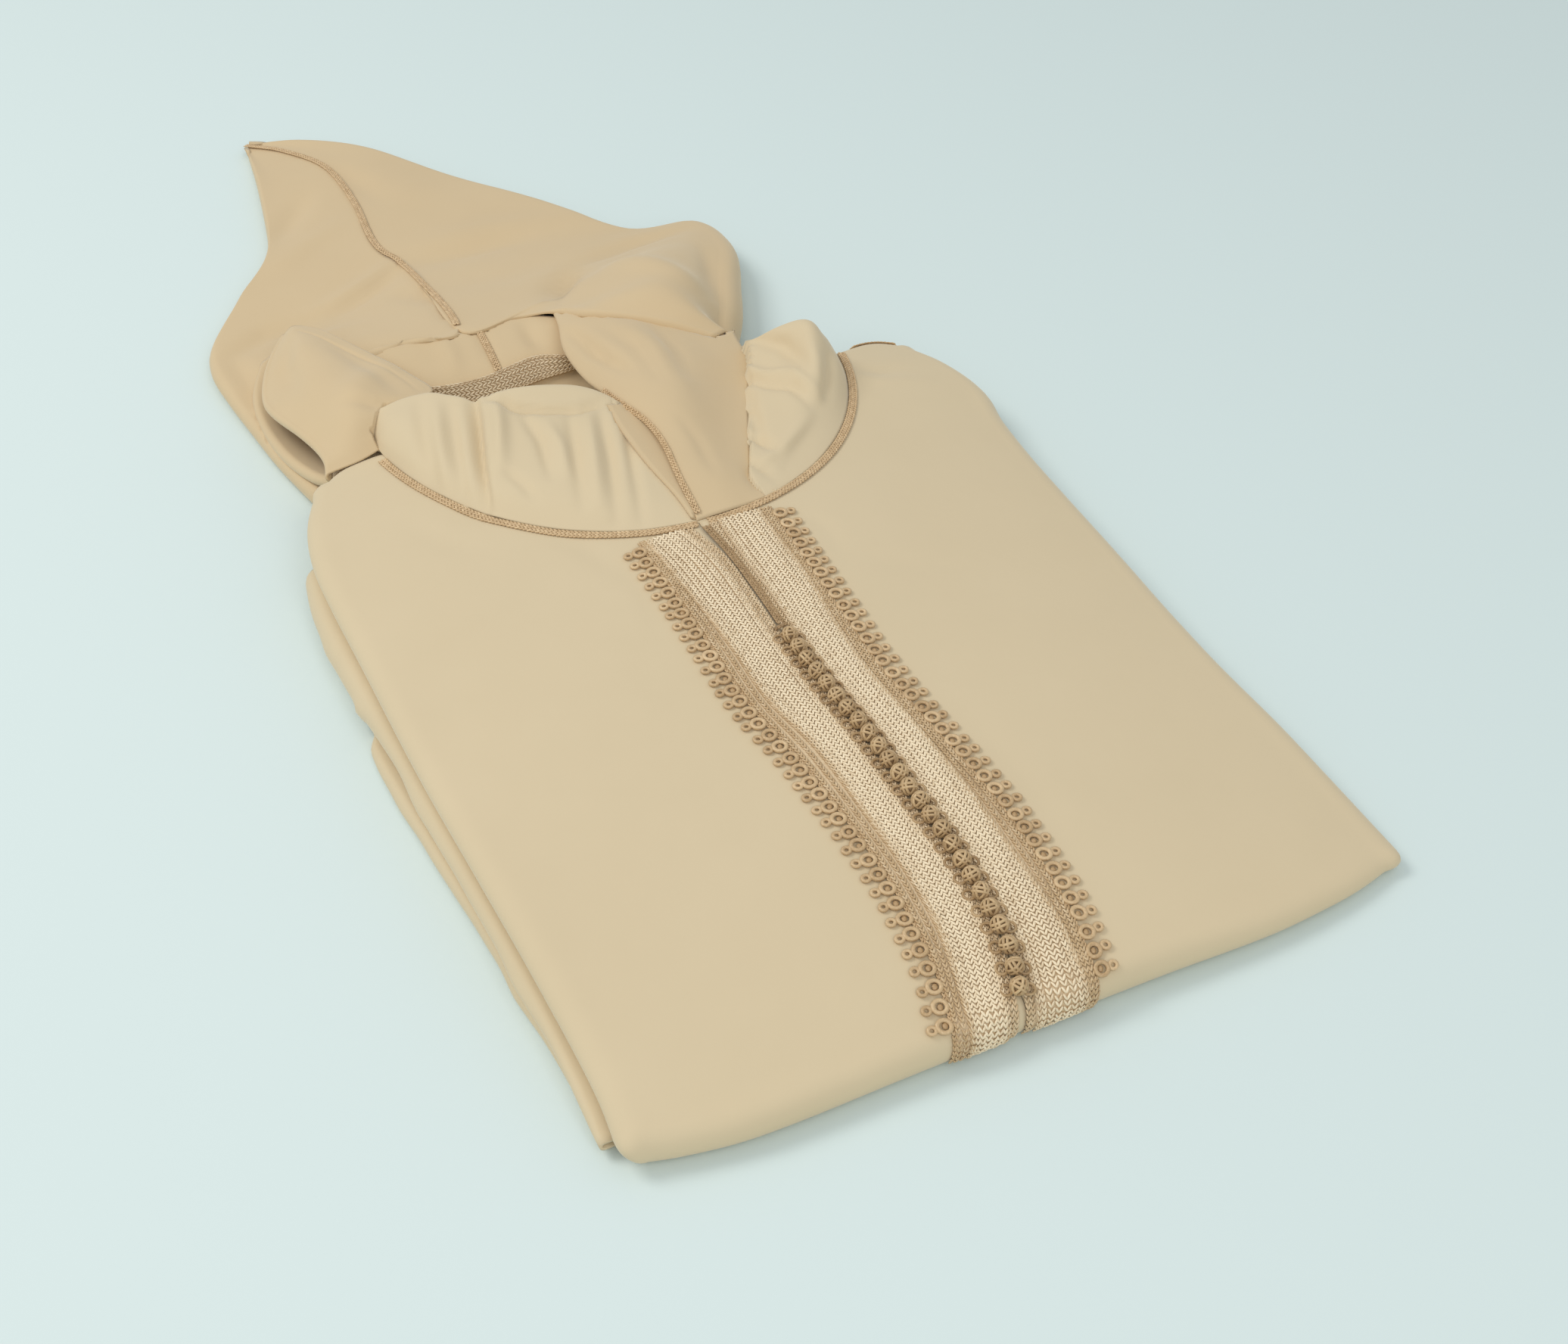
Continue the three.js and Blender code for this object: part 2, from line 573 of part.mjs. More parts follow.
// The hood's two halves from the tip to the brim: crown seam, back of the hood, folded edge.
const HOOD_RIGHT = [
  { crown: [-110, 698, 5], back: [-108, 698, 5], edge: [-106, 700, 3] },
  { crown: [-89, 672, 9], back: [-81, 675, 9], edge: [-72, 684, 5] },
  { crown: [-70, 633, 12], back: [-52, 638, 12], edge: [-33, 651, 6] },
  { crown: [-66, 580, 13], back: [-30, 582, 14], edge: [6, 590, 6] },
  { crown: [-70, 517, 15], back: [-6, 520, 14], edge: [51, 529, 7] },
  { crown: [-60, 474, 17], back: [26, 470, 16], edge: [90, 467, 8] },
  { crown: [-61, 379, 34], back: [49, 412, 28], edge: [131, 452, 11] },
  { crown: [-27, 370, 37], back: [64, 369, 38], edge: [137, 408, 13] },
  { crown: [6, 357, 39], back: [66, 338, 43], edge: [118, 351, 14] },
  { crown: [36, 334, 42], back: [70, 316, 42], edge: [99, 317, 13] },
];
const HOOD_LEFT = [
  { crown: [-111, 697, 5], back: [-111, 694, 5], edge: [-112, 690, 3] },
  { crown: [-90, 671, 9], back: [-106, 645, 9], edge: [-120, 626, 5] },
  { crown: [-71, 632, 12], back: [-104, 580, 12], edge: [-138, 540, 6] },
  { crown: [-67, 579, 13], back: [-118, 530, 12], edge: [-168, 496, 6] },
  { crown: [-71, 516, 15], back: [-134, 481, 12], edge: [-195, 453, 6] },
  { crown: [-61, 473, 17], back: [-132, 440, 13], edge: [-202, 425, 6] },
  { crown: [-63, 379, 34], back: [-140, 404, 15], edge: [-200, 392, 6] },
  { crown: [-98, 377, 26], back: [-152, 366, 13], edge: [-196, 360, 6] },
  { crown: [-128, 330, 14], back: [-160, 328, 13], edge: [-190, 318, 6] },
  { crown: [-140, 286, 14], back: [-162, 282, 14], edge: [-181, 274, 7] },
];
// The rolled fold that lies on the hood's left edge.
const HOOD_SIDE = [
  { outer: [-188, 436, 13], inner: [-150, 446, 19] },
  { outer: [-193, 412, 12], inner: [-163, 420, 20] },
  { outer: [-192, 376, 12], inner: [-171, 384, 21] },
  { outer: [-186, 345, 12], inner: [-168, 352, 21] },
  { outer: [-181, 313, 12], inner: [-163, 318, 22] },
  { outer: [-176, 280, 13], inner: [-158, 284, 24] },
];
// The trough of the face opening: down from the brim, through a valley, up to the mouth edge.
const BRIM = [
  { ridge: [-102, 374, 27], slope: [-106, 361, 15], valley: [-107, 348, 9], mouth: [-108, 340, 21] },
  { ridge: [-83, 373, 34], slope: [-86, 356, 18], valley: [-89, 342, 9], mouth: [-92, 331, 26] },
  { ridge: [-63, 371, 36], slope: [-67, 353, 19], valley: [-70, 338, 9], mouth: [-73, 326, 28] },
  { ridge: [-45, 369, 37], slope: [-50, 352, 19], valley: [-53, 337, 9], mouth: [-56, 324, 30] },
  { ridge: [-27, 366, 37], slope: [-31, 352, 20], valley: [-34, 339, 9], mouth: [-37, 328, 31] },
  { ridge: [-8, 358, 38], slope: [-12, 346, 20], valley: [-15, 336, 9], mouth: [-18, 326, 31] },
  { ridge: [7, 350, 38], slope: [4, 339, 20], valley: [2, 330, 9], mouth: [0, 320, 30] },
];
// The cheek panel: from its rolled outer fold to the hemmed face edge.
const CHEEK_LEFT = [
  { outer: [-155, 424, 22], middle: [-149, 421, 31], hem: [-140, 413, 34] },
  { outer: [-166, 404, 21], middle: [-150, 398, 35], hem: [-127, 384, 39] },
  { outer: [-176, 380, 19], middle: [-150, 364, 38], hem: [-116, 341, 44] },
  { outer: [-178, 345, 20], middle: [-147, 330, 43], hem: [-111, 313, 50] },
  { outer: [-171, 304, 27], middle: [-142, 297, 49], hem: [-112, 292, 54] },
  { outer: [-167, 272, 38], middle: [-150, 272, 50], hem: [-134, 274, 56] },
  { outer: [-168, 256, 41], middle: [-158, 255, 46], hem: [-148, 260, 50] },
];
// The throat pieces rise from the neck seam to a soft rolled crest.
const THROAT_LEFT = [
  { seam: seamPoint(190), middle: [-137, 262, 50], crest: [-131, 272, 55] },
  { seam: seamPoint(199), middle: [-129, 250, 54], crest: [-114, 270, 60] },
  { seam: seamPoint(208), middle: [-116, 229, 57], crest: [-95, 256, 62] },
  { seam: seamPoint(218), middle: [-101, 208, 57], crest: [-80, 247, 61] },
  { seam: seamPoint(228), middle: [-87, 192, 57], crest: [-73, 230, 64] },
  { seam: seamPoint(238), middle: [-70, 178, 57], crest: [-56, 217, 65] },
  { seam: seamPoint(248), middle: [-50, 166, 57], crest: [-37, 210, 66] },
  { seam: seamPoint(257), middle: [-31, 158, 55], crest: [-21, 208, 63] },
  { seam: seamPoint(266.5), middle: [-16, 143, 51], crest: [-15, 200, 58] },
];
const THROAT_RIGHT = [
  { left: [0, 352, 47], ridge: [10, 338, 53], right: [38, 316, 47] },
  { left: [-9, 322, 50], ridge: [14, 303, 58], right: [57, 288, 51] },
  { left: [-19, 282, 55], ridge: [12, 270, 62], right: [58, 254, 54] },
  { left: [-14, 244, 58], ridge: [16, 233, 63], right: [52, 222, 53] },
  { left: [-11, 214, 60], ridge: [15, 203, 62], right: [42, 189, 52] },
  { left: [-8, 180, 57], ridge: [12, 171, 58], right: [33, 158, 51] },
  { left: [-7, 142, 51], ridge: [10, 139, 53], right: [28, 136, 49] },
  { left: seamPoint(268.8), ridge: seamPoint(275, 1.5), right: seamPoint(281) },
];
const NECK_RIGHT = [
  { inner: [66, 282, 49], middle: [92, 262, 52], seam: seamPoint(350) },
  { inner: [63, 256, 50], middle: [110, 246, 67], seam: seamPoint(340) },
  { inner: [56, 226, 50], middle: [86, 208, 57], seam: seamPoint(329) },
  { inner: [47, 194, 49], middle: [71, 176, 56], seam: seamPoint(317) },
  { inner: [39, 164, 49], middle: [54, 152, 53], seam: seamPoint(304) },
  { inner: [31, 137, 48], middle: [34, 132, 50], seam: seamPoint(289) },
];
const THROAT_FACING = [
  { inner: [-22, 214, 52], outer: [-10, 220, 50] },
  { inner: [-19, 190, 50], outer: [-6, 196, 48] },
  { inner: [-16, 160, 49], outer: [-4, 164, 47] },
  { inner: [-14, 130, 47], outer: [-6, 132, 46] },
];

/** Turn the end of a row of points over and back under: a round fold and a flat lip. */
function rollOver(row, out, radius, degrees, lip) {
  const start = row[row.length - 1];
  const steps = Math.round(degrees / 36);
  const roll = Array.from({ length: steps }, (_, k) => {
    const angle = THREE.MathUtils.degToRad((degrees * (k + 1)) / steps);
    const turned = start.clone().addScaledVector(out, radius * Math.sin(angle));
    return turned.setZ(start.z - radius * (1 - Math.cos(angle)));
  });
  const last = roll[roll.length - 1];
  const end = lip > 0 ? [last.clone().addScaledVector(out, -lip)] : [];
  return [...row, ...roll, ...end];
}

/** Rows across a hood half: the woven top, then its edge rolled over and under to lie flat. */
function hoodGrid(table, along, across) {
  const tangents = table.map(({ crown, back, edge }) => {
    const out = new THREE.Vector3(edge[0] - back[0], edge[1] - back[1], 0).normalize();
    return { crown, back, rim: [edge[0] - out.x * edge[2], edge[1] - out.y * edge[2], 2 * edge[2]], edge };
  });
  const tops = weave(tangents, ['crown', 'back', 'rim'], along, across);
  const edges = through(table.map((row) => vec(row.edge)), along);
  return tops.map((row, i) => {
    const rim = row[row.length - 1];
    const out = edges[i].clone().sub(rim).setZ(0).normalize();
    const span = row[0].distanceTo(rim);
    return rollOver(row, out, rim.z / 2, 180, Math.min(UNDER_LIP, span * 0.4));
  });
}

/** The rolled fold on the hood's left edge: a strip whose outer side turns under. */
function sideRollGrid(table, along, across, radius) {
  return weave(table, ['inner', 'outer'], along, across).map((row) => {
    const rim = row[row.length - 1];
    const out = rim.clone().sub(row[0]).setZ(0).normalize();
    return rollOver(row, out, radius, 150, 0);
  });
}

// ---------------------------------------------------------------- cords, bands, edging
/** Sweep a section (a list of [side, height]) along frames, capped at both ends. */
function sweep(frames, sections) {
  const rings = frames.map(({ p, side, up }, k) => sections(k).map(([s, h]) => (
    p.clone().addScaledVector(side, s).addScaledVector(up, h))));
  return loft(rings);
}

/** Frames along a path of points that lie on a surface, `up` being the surface's normal there. */
function framesAlong(points, ups) {
  return points.map((p, i) => {
    const next = points[Math.min(points.length - 1, i + 1)];
    const ahead = next.clone().sub(points[Math.max(0, i - 1)]).normalize();
    const up = ups[i].clone().addScaledVector(ahead, -ups[i].dot(ahead)).normalize();
    return { p, side: ahead.cross(up).normalize(), up };
  });
}

/** A flat plaited cord: five-sided, round-backed. */
function cordOn(points, ups, size, lift = GAP) {
  const { width, height } = size;
  const section = [
    [-width / 2, lift], [-width / 2, lift + height * 0.6], [0, lift + height],
    [width / 2, lift + height * 0.6], [width / 2, lift],
  ];
  return sweep(framesAlong(points, ups), () => section);
}

/** Positions down the placket, closer together over the bottom fold. */
function placketStations(from, to, step, foldStep) {
  const stations = [];
  let q = from;
  while (q > to) {
    stations.push(q);
    q -= q > -205 ? step : foldStep;
  }
  stations.push(to);
  return stations;
}

/** One woven band: a flat tan shoulder outside, then ribbed plait up to the slit. */
function band(side) {
  const stations = placketStations(BAND_TOP, -244, 14, 4);
  const rings = stations.map((q) => {
    const [a, b, c] = ['outer', 'plait', 'inner'].map((name) => read(BANDS[side], 'y', q, name));
    const sign = Math.sign(c - a);
    const heights = [
      [a + sign * GAP, BRAID.shoulder], [b - sign * 0.6, BRAID.shoulder], [b, BRAID.body],
      [b + (c - b) * 0.14, BRAID.body - BRAID.rib], [b + (c - b) * 0.28, BRAID.body],
      [b + (c - b) * 0.5, BRAID.body + BRAID.rib], [b + (c - b) * 0.72, BRAID.body],
      [b + (c - b) * 0.86, BRAID.body - BRAID.rib], [c, BRAID.body],
    ];
    const lifted = ([x, h]) => {
      const { p, up } = onFront(x, q);
      return p.addScaledVector(up, BRAID.lift + h);
    };
    const under = [c, (b + c) / 2, a + sign * GAP].map((x) => lifted([x, 0]));
    return [...heights.map(lifted), ...under];
  });
  return loft(rings);
}

/** Looped edging: rings and smaller end loops in one scalloped strip along a band. */
function picots(side, sign) {
  const top = [];
  const steps = [
    { at: 0, width: PICOT.notch }, { at: 0.36, width: PICOT.tip }, { at: 0.64, width: PICOT.tip },
  ];
  for (let q = BAND_TOP - 4; q > -226; q -= PICOT.pitch) {
    for (const { at, width } of steps) top.push({ q: q - at * PICOT.pitch, width });
  }
  top.push({ q: -232, width: PICOT.notch });
  const rings = top.map(({ q, width }) => {
    const base = read(BANDS[side], 'y', q, 'outer') + sign * GAP * 0.5;
    const corner = (x, h) => {
      const { p, up } = onFront(x, q);
      return p.addScaledVector(up, BRAID.lift + h);
    };
    const tip = base + sign * width;
    return [corner(base, 0), corner(base, PICOT.thick), corner(tip, PICOT.thick), corner(tip, 0)];
  });
  return loft(rings);
}

/** A ball knot of the placket. */
function knot(index) {
  const q = KNOT.first - index * KNOT.pitch;
  const { p, up } = onFront(read(KNOT_LINE, 'y', q, 'x'), q);
  const geometry = new THREE.SphereGeometry(KNOT.radius, 7, 5);
  geometry.deleteAttribute('normal');
  geometry.deleteAttribute('uv');
  const place = p.addScaledVector(up, KNOT.radius + GAP + 0.2);
  return { geometry: mergeVertices(geometry, 1e-4), place };
}

/** Path on the front surface through [x, q] pairs, as points with their normals. */
function frontPath(pairs, steps) {
  const flat = through(pairs.map(([x, q]) => new THREE.Vector3(x, q, 0)), steps);
  const frames = flat.map(({ x, y }) => onFront(x, y));
  return { points: frames.map((f) => f.p), ups: frames.map((f) => f.up) };
}

/** Path along one column of a grid, with the grid's normals. */
function gridPath(grid, column) {
  const normals = gridNormals(grid);
  return { points: grid.map((row) => row[column].clone()), ups: grid.map((_, i) => normals[i][column]) };
}

// ---------------------------------------------------------------- assembly
const garment = new THREE.Group();
const pieces = new Map();

function add(name, geometry, colour, roughness = 0.85) {
  const material = new THREE.MeshStandardMaterial({ color: colour, roughness, metalness: 0 });
  const mesh = new THREE.Mesh(geometry, material);
  mesh.name = name;
  pieces.set(name, mesh);
  garment.add(mesh);
  return mesh;
}

const grids = {
  front_left: frontGrid(-1),
  front_right: frontGrid(1),
  side_fold_upper: sideFoldGrid(SIDE_FOLDS.side_fold_upper),
  side_fold_lower: sideFoldGrid(SIDE_FOLDS.side_fold_lower),
  hood_back_left: hoodGrid(HOOD_LEFT, 16, 4),
  hood_back_right: hoodGrid(HOOD_RIGHT, 16, 4),
  hood_side_fold: sideRollGrid(HOOD_SIDE, 9, 3, 4),
  hood_brim: weave(BRIM, ['ridge', 'slope', 'valley', 'mouth'], 12, 9),
  hood_cheek_left: weave(CHEEK_LEFT, ['outer', 'middle', 'hem'], 10, 6),
  throat_left: weave(THROAT_LEFT, ['seam', 'middle', 'crest'], 16, 6),
  throat_right: weave(THROAT_RIGHT, ['left', 'ridge', 'right'], 14, 6),
  neck_right: weave(NECK_RIGHT, ['inner', 'middle', 'seam'], 10, 6),
  throat_facing_left: weave(THROAT_FACING, ['inner', 'outer'], 6, 2),
};
// From the piece that lies on top to the one below all the others.
const ORDER = [
  'throat_left', 'throat_right', 'neck_right', 'throat_facing_left', 'hood_cheek_left', 'hood_brim',
  'hood_side_fold', 'hood_back_left', 'hood_back_right', 'front_left', 'front_right', 'side_fold_upper',
  'side_fold_lower',
];
const neckHole = neckPrism();
ORDER.forEach((name, rank) => {
  const above = ORDER.slice(0, rank).map((other) => roomFor(grids[other]));
  const tools = name.startsWith('front') ? [neckHole, ...above] : above;
  add(name, cut(wall(grids[name]), tools), CLOTH_COLOUR);
});
const facing = offset(grids.hood_brim, -CLOTH - GAP).map((row) => row.slice(6));
let layers = toSolid(packetCore());
for (const table of Object.values(MOUNDS)) layers = layers.add(toSolid(mound(table)));
for (const name of ORDER) layers = layers.subtract(toSolid(roomFor(grids[name])));
layers = layers.subtract(toSolid(roomFor(facing, FACING)));
add('folded_layers', largestBody(layers), CLOTH_COLOUR);

/** The neck seam's cord over a stretch of the half ellipse, lying on the front beside the seam. */
function neckCord(fromDegrees, toDegrees, steps) {
  const frames = Array.from({ length: steps + 1 }, (_, i) => {
    const angle = THREE.MathUtils.degToRad(fromDegrees + ((toDegrees - fromDegrees) * i) / steps);
    const beside = SEAM_CORD.width / 2 + 0.4;
    const x = NECK.x + (NECK.halfWidth + beside) * Math.cos(angle);
    return onFront(x, NECK.y + (NECK.depth + beside) * Math.sin(angle));
  });
  return cordOn(frames.map((f) => f.p), frames.map((f) => f.up), SEAM_CORD);
}
add('neck_cord_left', neckCord(190.5, 267.2, 18), TRIM_COLOUR, 0.5);
add('neck_cord_right', neckCord(269.6, 349, 16), TRIM_COLOUR, 0.5);

const crown = grids.hood_back_left
  .map((row, i) => row[0].clone().lerp(grids.hood_back_right[i][0], 0.5))
  .slice(0, 11);
const crownUps = crown.map(() => new THREE.Vector3(0, 0, 1));
add('crown_braid_back', cordOn(crown, crownUps, SEAM_CORD, 0.9), TRIM_COLOUR, 0.5);
const brimMiddle = grids.hood_brim[6].slice(0, 5);
const brimNormals = gridNormals(grids.hood_brim)[6].slice(0, 5);
add('crown_braid_front', cordOn(brimMiddle, brimNormals, SEAM_CORD), TRIM_COLOUR, 0.5);
add('face_braid', wall(facing, FACING), TRIM_COLOUR, 0.5);

const throatEdge = gridPath(grids.throat_right, 0);
const throatInner = grids.throat_right.map((row) => row[0].clone().lerp(row[1], 0.3)).slice(6, 14);
add('throat_cord_right', cordOn(throatInner, throatEdge.ups.slice(6, 14), FINE_CORD), TRIM_COLOUR, 0.5);

const slitCord = frontPath([[-7, 115], [-5, 85], [-4.2, 50], [-4.2, 26]], 8);
add('placket_cord', cordOn(slitCord.points, slitCord.ups, FINE_CORD), KNOT_COLOUR, 0.5);

/** A short braid on the shoulder fold between two places across the packet. */
function shoulderBraid(fromU, toU, turn) {
  const strip = Array.from({ length: 6 }, (_, i) => {
    const u = fromU + ((toU - fromU) * i) / 5;
    return [turn - 0.12, turn, turn + 0.12].map((b) => packetSkin(u, 1, 0, b));
  });
  const { points, ups } = gridPath(strip, 1);
  return cordOn(points, ups, SEAM_CORD, 1);
}
add('shoulder_braid_left', shoulderBraid(0.1, 0.02, 0.3), TRIM_COLOUR, 0.5);
add('shoulder_braid_right', shoulderBraid(0.92, 1, 0.35), TRIM_COLOUR, 0.5);

add('band_left', band('left'), TRIM_COLOUR, 0.45);
add('band_right', band('right'), TRIM_COLOUR, 0.45);
add('picots_left', picots('left', -1), TRIM_COLOUR, 0.5);
add('picots_right', picots('right', 1), TRIM_COLOUR, 0.5);
for (let i = 0; i < KNOT.count; i += 1) {
  const { geometry, place } = knot(i);
  const mesh = add(`knot_${String(i + 1).padStart(2, '0')}`, geometry, KNOT_COLOUR, 0.5);
  mesh.position.copy(place);
}

export default garment;
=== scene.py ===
"""Visual model of a folded djellaba: crepe packet, pointed hood, woven bands, loops and ball knots."""

import logging
import math
from dataclasses import dataclass
from enum import Enum
from typing import Callable, Optional, Sequence

import bmesh
import bpy
import numpy as np
from mathutils import Matrix, Vector, noise
from mathutils.bvhtree import BVHTree


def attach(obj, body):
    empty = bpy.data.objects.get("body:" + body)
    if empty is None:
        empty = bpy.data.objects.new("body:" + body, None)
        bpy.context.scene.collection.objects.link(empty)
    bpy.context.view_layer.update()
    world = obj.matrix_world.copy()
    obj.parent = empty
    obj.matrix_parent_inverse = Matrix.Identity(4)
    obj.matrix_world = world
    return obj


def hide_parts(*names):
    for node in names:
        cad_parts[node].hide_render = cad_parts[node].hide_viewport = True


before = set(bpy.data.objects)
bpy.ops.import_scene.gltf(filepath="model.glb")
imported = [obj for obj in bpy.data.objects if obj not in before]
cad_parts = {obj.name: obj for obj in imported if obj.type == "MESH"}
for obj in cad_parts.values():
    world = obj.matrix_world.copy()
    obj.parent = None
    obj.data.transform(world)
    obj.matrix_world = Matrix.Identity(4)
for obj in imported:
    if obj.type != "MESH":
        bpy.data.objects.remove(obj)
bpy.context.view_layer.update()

MM = 0.001
BODY = "root"
ABOVE = 200.0  # millimetres over the whole garment, where a look straight down starts
DOWN = Vector((0, 0, -1))
LOG = logging.getLogger("djellaba")
Grid = list[list[Vector]]
Triple = tuple[float, float, float]


# ------------------------------------------------------------------ reading tables of sizes
@dataclass(frozen=True)
class Table:
    """Rows of sizes in millimetres under named columns; the first column is the one read by."""

    columns: tuple[str, ...]
    rows: tuple[tuple[float, ...], ...]

    def read(self, at: float, name: str) -> float:
        """Reads a column at a place between rows, along a smooth curve.

        Args:
            at: Place in the first column's unit.
            name: Column to read.

        Returns:
            The value there, held constant past the ends.
        """
        rows = self.rows if self.rows[0][0] < self.rows[-1][0] else self.rows[::-1]
        c = self.columns.index(name)
        last = len(rows) - 1
        if at <= rows[0][0]:
            return rows[0][c]
        if at >= rows[last][0]:
            return rows[last][c]
        k = 0
        while at > rows[k + 1][0]:
            k += 1

        def slope(i: int) -> float:
            """Slope of the curve at a row."""
            a, b = rows[max(0, i - 1)], rows[min(last, i + 1)]
            return (b[c] - a[c]) / (b[0] - a[0])

        span = rows[k + 1][0] - rows[k][0]
        t = (at - rows[k][0]) / span
        rise = rows[k + 1][c] - rows[k][c]
        start, end = slope(k) * span, slope(k + 1) * span
        return rows[k][c] + start * t + (3 * rise - 2 * start - end) * t * t + (start + end - 2 * rise) * t**3


@dataclass(frozen=True)
class Rails:
    """Named lines of points, in millimetres, that a sheet is woven through; a row for each station."""

    names: tuple[str, ...]
    rows: tuple[tuple[Triple, ...], ...]

    def weave(self, along: int, across: int) -> Grid:
        """Weaves a grid of points through the lines.

        Args:
            along: Spans along the piece.
            across: Spans across it.

        Returns:
            Rows of points in millimetres.
        """
        lines = [[Vector(row[k]) for row in self.rows] for k in range(len(self.names))]
        rails = [curve_through(line, along) for line in lines]
        return [curve_through([rail[i] for rail in rails], across) for i in range(along + 1)]


def curve_through(points: Sequence[Vector], steps: int) -> list[Vector]:
    """Points of a smooth curve through others, evenly spread over its spans."""
    last = len(points) - 2
    result = []
    for i in range(steps + 1):
        s = (len(points) - 1) * i / steps
        k = min(int(s), last)
        w = s - k
        b, c = points[k], points[k + 1]
        a = points[k - 1] if k > 0 else b * 2 - c
        d = points[k + 2] if k < last else c * 2 - b
        v0, v1 = (c - a) * 0.5, (d - b) * 0.5
        result.append((2 * (b - c) + v0 + v1) * w**3 + (3 * (c - b) - 2 * v0 - v1) * w * w + v0 * w + b)
    return result


def clamp(value: float, low: float, high: float) -> float:
    """Value kept between two limits."""
    return min(high, max(low, value))


def soft(t: float) -> float:
    """Smooth step from 0 to 1."""
    t = clamp(t, 0.0, 1.0)
    return t * t * (3 - 2 * t)


def facing_up(height: float) -> float:
    """Share of a crease that a surface takes, from the height of its unit normal; none underneath."""
    return soft((height + 0.6) / 0.9)


# ------------------------------------------------------------------ named choices
class Side(Enum):
    """Side of the slit that a piece lies on, seen from above with the hem towards the viewer."""

    LEFT = "left"
    RIGHT = "right"

    @property
    def sign(self) -> int:
        """Direction of the side along x."""
        return -1 if self is Side.LEFT else 1


class Slot(Enum):
    """The record's material slots."""

    CREPE = "crepe"
    TRIM = "trim"
    KNOT = "knot"


class Tone(Enum):
    """Shade of a thread, from the painted shade of the knots' core to the light of the silk plait."""

    # darkest tone, worn only by the knots' core: painted shade that shows between the rings
    BROWN = 0.2
    TAN = 0.45
    GOLD = 0.62
    SILK = 0.92


# ------------------------------------------------------------------ finishes
def node_group(name: str, inputs: Sequence[tuple[str, float]]) -> bpy.types.NodeTree:
    """A shader node group that puts out a height and a shade.

    Args:
        name: Name of the group.
        inputs: Name and default of each input, all plain numbers.

    Returns:
        The group, with its input and output nodes placed.
    """
    group = bpy.data.node_groups.new(name, "ShaderNodeTree")
    for label, default in inputs:
        socket = group.interface.new_socket(label, in_out="INPUT", socket_type="NodeSocketFloat")
        socket.default_value = default
    for label in ("Height", "Shade"):
        group.interface.new_socket(label, in_out="OUTPUT", socket_type="NodeSocketFloat")
    group.nodes.new("NodeGroupInput")
    group.nodes.new("NodeGroupOutput")
    return group


class Nodes:
    """Short ways to place and join shader nodes in one tree."""

    def __init__(self, tree: bpy.types.NodeTree) -> None:
        """Keeps the tree that nodes are placed in."""
        self.tree = tree

    def add(self, kind: str, **values: object) -> bpy.types.Node:
        """Places a node and sets its properties, or its inputs where the name is one."""
        node = self.tree.nodes.new(kind)
        for name, value in values.items():
            if hasattr(node, name):
                setattr(node, name, value)
            else:
                node.inputs[name].default_value = value
        return node

    def feed(self, target: bpy.types.NodeSocket, value: object) -> None:
        """Links an input to another socket, or gives it a plain value."""
        if isinstance(value, bpy.types.NodeSocket):
            self.tree.links.new(value, target)
        else:
            target.default_value = value

    def math(self, operation: str, first: object, second: object) -> bpy.types.NodeSocket:
        """Result of a math node on sockets or numbers."""
        node = self.add("ShaderNodeMath", operation=operation)
        self.feed(node.inputs[0], first)
        self.feed(node.inputs[1], second)
        return node.outputs[0]

    def blend(self, first: object, share: float, second: object, other: float) -> bpy.types.NodeSocket:
        """Sum of two sockets, each times its own share."""
        return self.math("ADD", self.math("MULTIPLY", first, share), self.math("MULTIPLY", second, other))

    def noise(self, place: object, scale: object, detail: float, roughness: float) -> bpy.types.NodeSocket:
        """Strength of a noise pattern, whose scale is a socket or a number."""
        node = self.add("ShaderNodeTexNoise", Detail=detail, Roughness=roughness)
        self.feed(node.inputs["Vector"], place)
        self.feed(node.inputs["Scale"], scale)
        return node.outputs["Fac"]

    def bump(self, height: object, distance: float, strength: float) -> bpy.types.NodeSocket:
        """Normal of a surface that is raised by a height, in metres."""
        node = self.add("ShaderNodeBump", Distance=distance, Strength=strength)
        self.feed(node.inputs["Height"], height)
        return node.outputs["Normal"]


def build_cloth_group() -> bpy.types.NodeTree:
    """Node group of the crepe: its pebbled weave, its faint mottling and its soft rumples."""
    group = node_group("crepe_weave", (("Grain", 2600.0), ("Mottle", 14.0)))
    n = Nodes(group)
    source, target = group.nodes["Group Input"].outputs, group.nodes["Group Output"].inputs
    place = n.add("ShaderNodeTexCoord").outputs["Object"]
    grain = n.noise(place, source["Grain"], 2.0, 0.6)
    rumple = n.noise(place, 60.0, 3.0, 0.5)
    mottle = n.noise(place, source["Mottle"], 3.0, 0.55)
    n.feed(target["Height"], n.blend(grain, 0.12, rumple, 0.9))
    n.feed(target["Shade"], n.blend(grain, 0.35, mottle, 0.65))
    return group


def build_thread_group() -> bpy.types.NodeTree:
    """Node group of silk thread: fine twisted strands, with painted shade that darkens the grooves between
    them.
    """
    group = node_group("silk_thread", (("Strands", 900.0), ("Fray", 1800.0)))
    n = Nodes(group)
    source, target = group.nodes["Group Input"].outputs, group.nodes["Group Output"].inputs
    place = n.add("ShaderNodeTexCoord").outputs["Object"]
    strands = n.noise(place, source["Strands"], 1.0, 0.4)
    fray = n.noise(place, source["Fray"], 2.0, 0.6)
    mixed = n.blend(strands, 0.7, fray, 0.3)
    # one pattern feeds both the bump and the shade, so the low grooves between strands get painted shade
    n.feed(target["Height"], mixed)
    n.feed(target["Shade"], mixed)
    return group


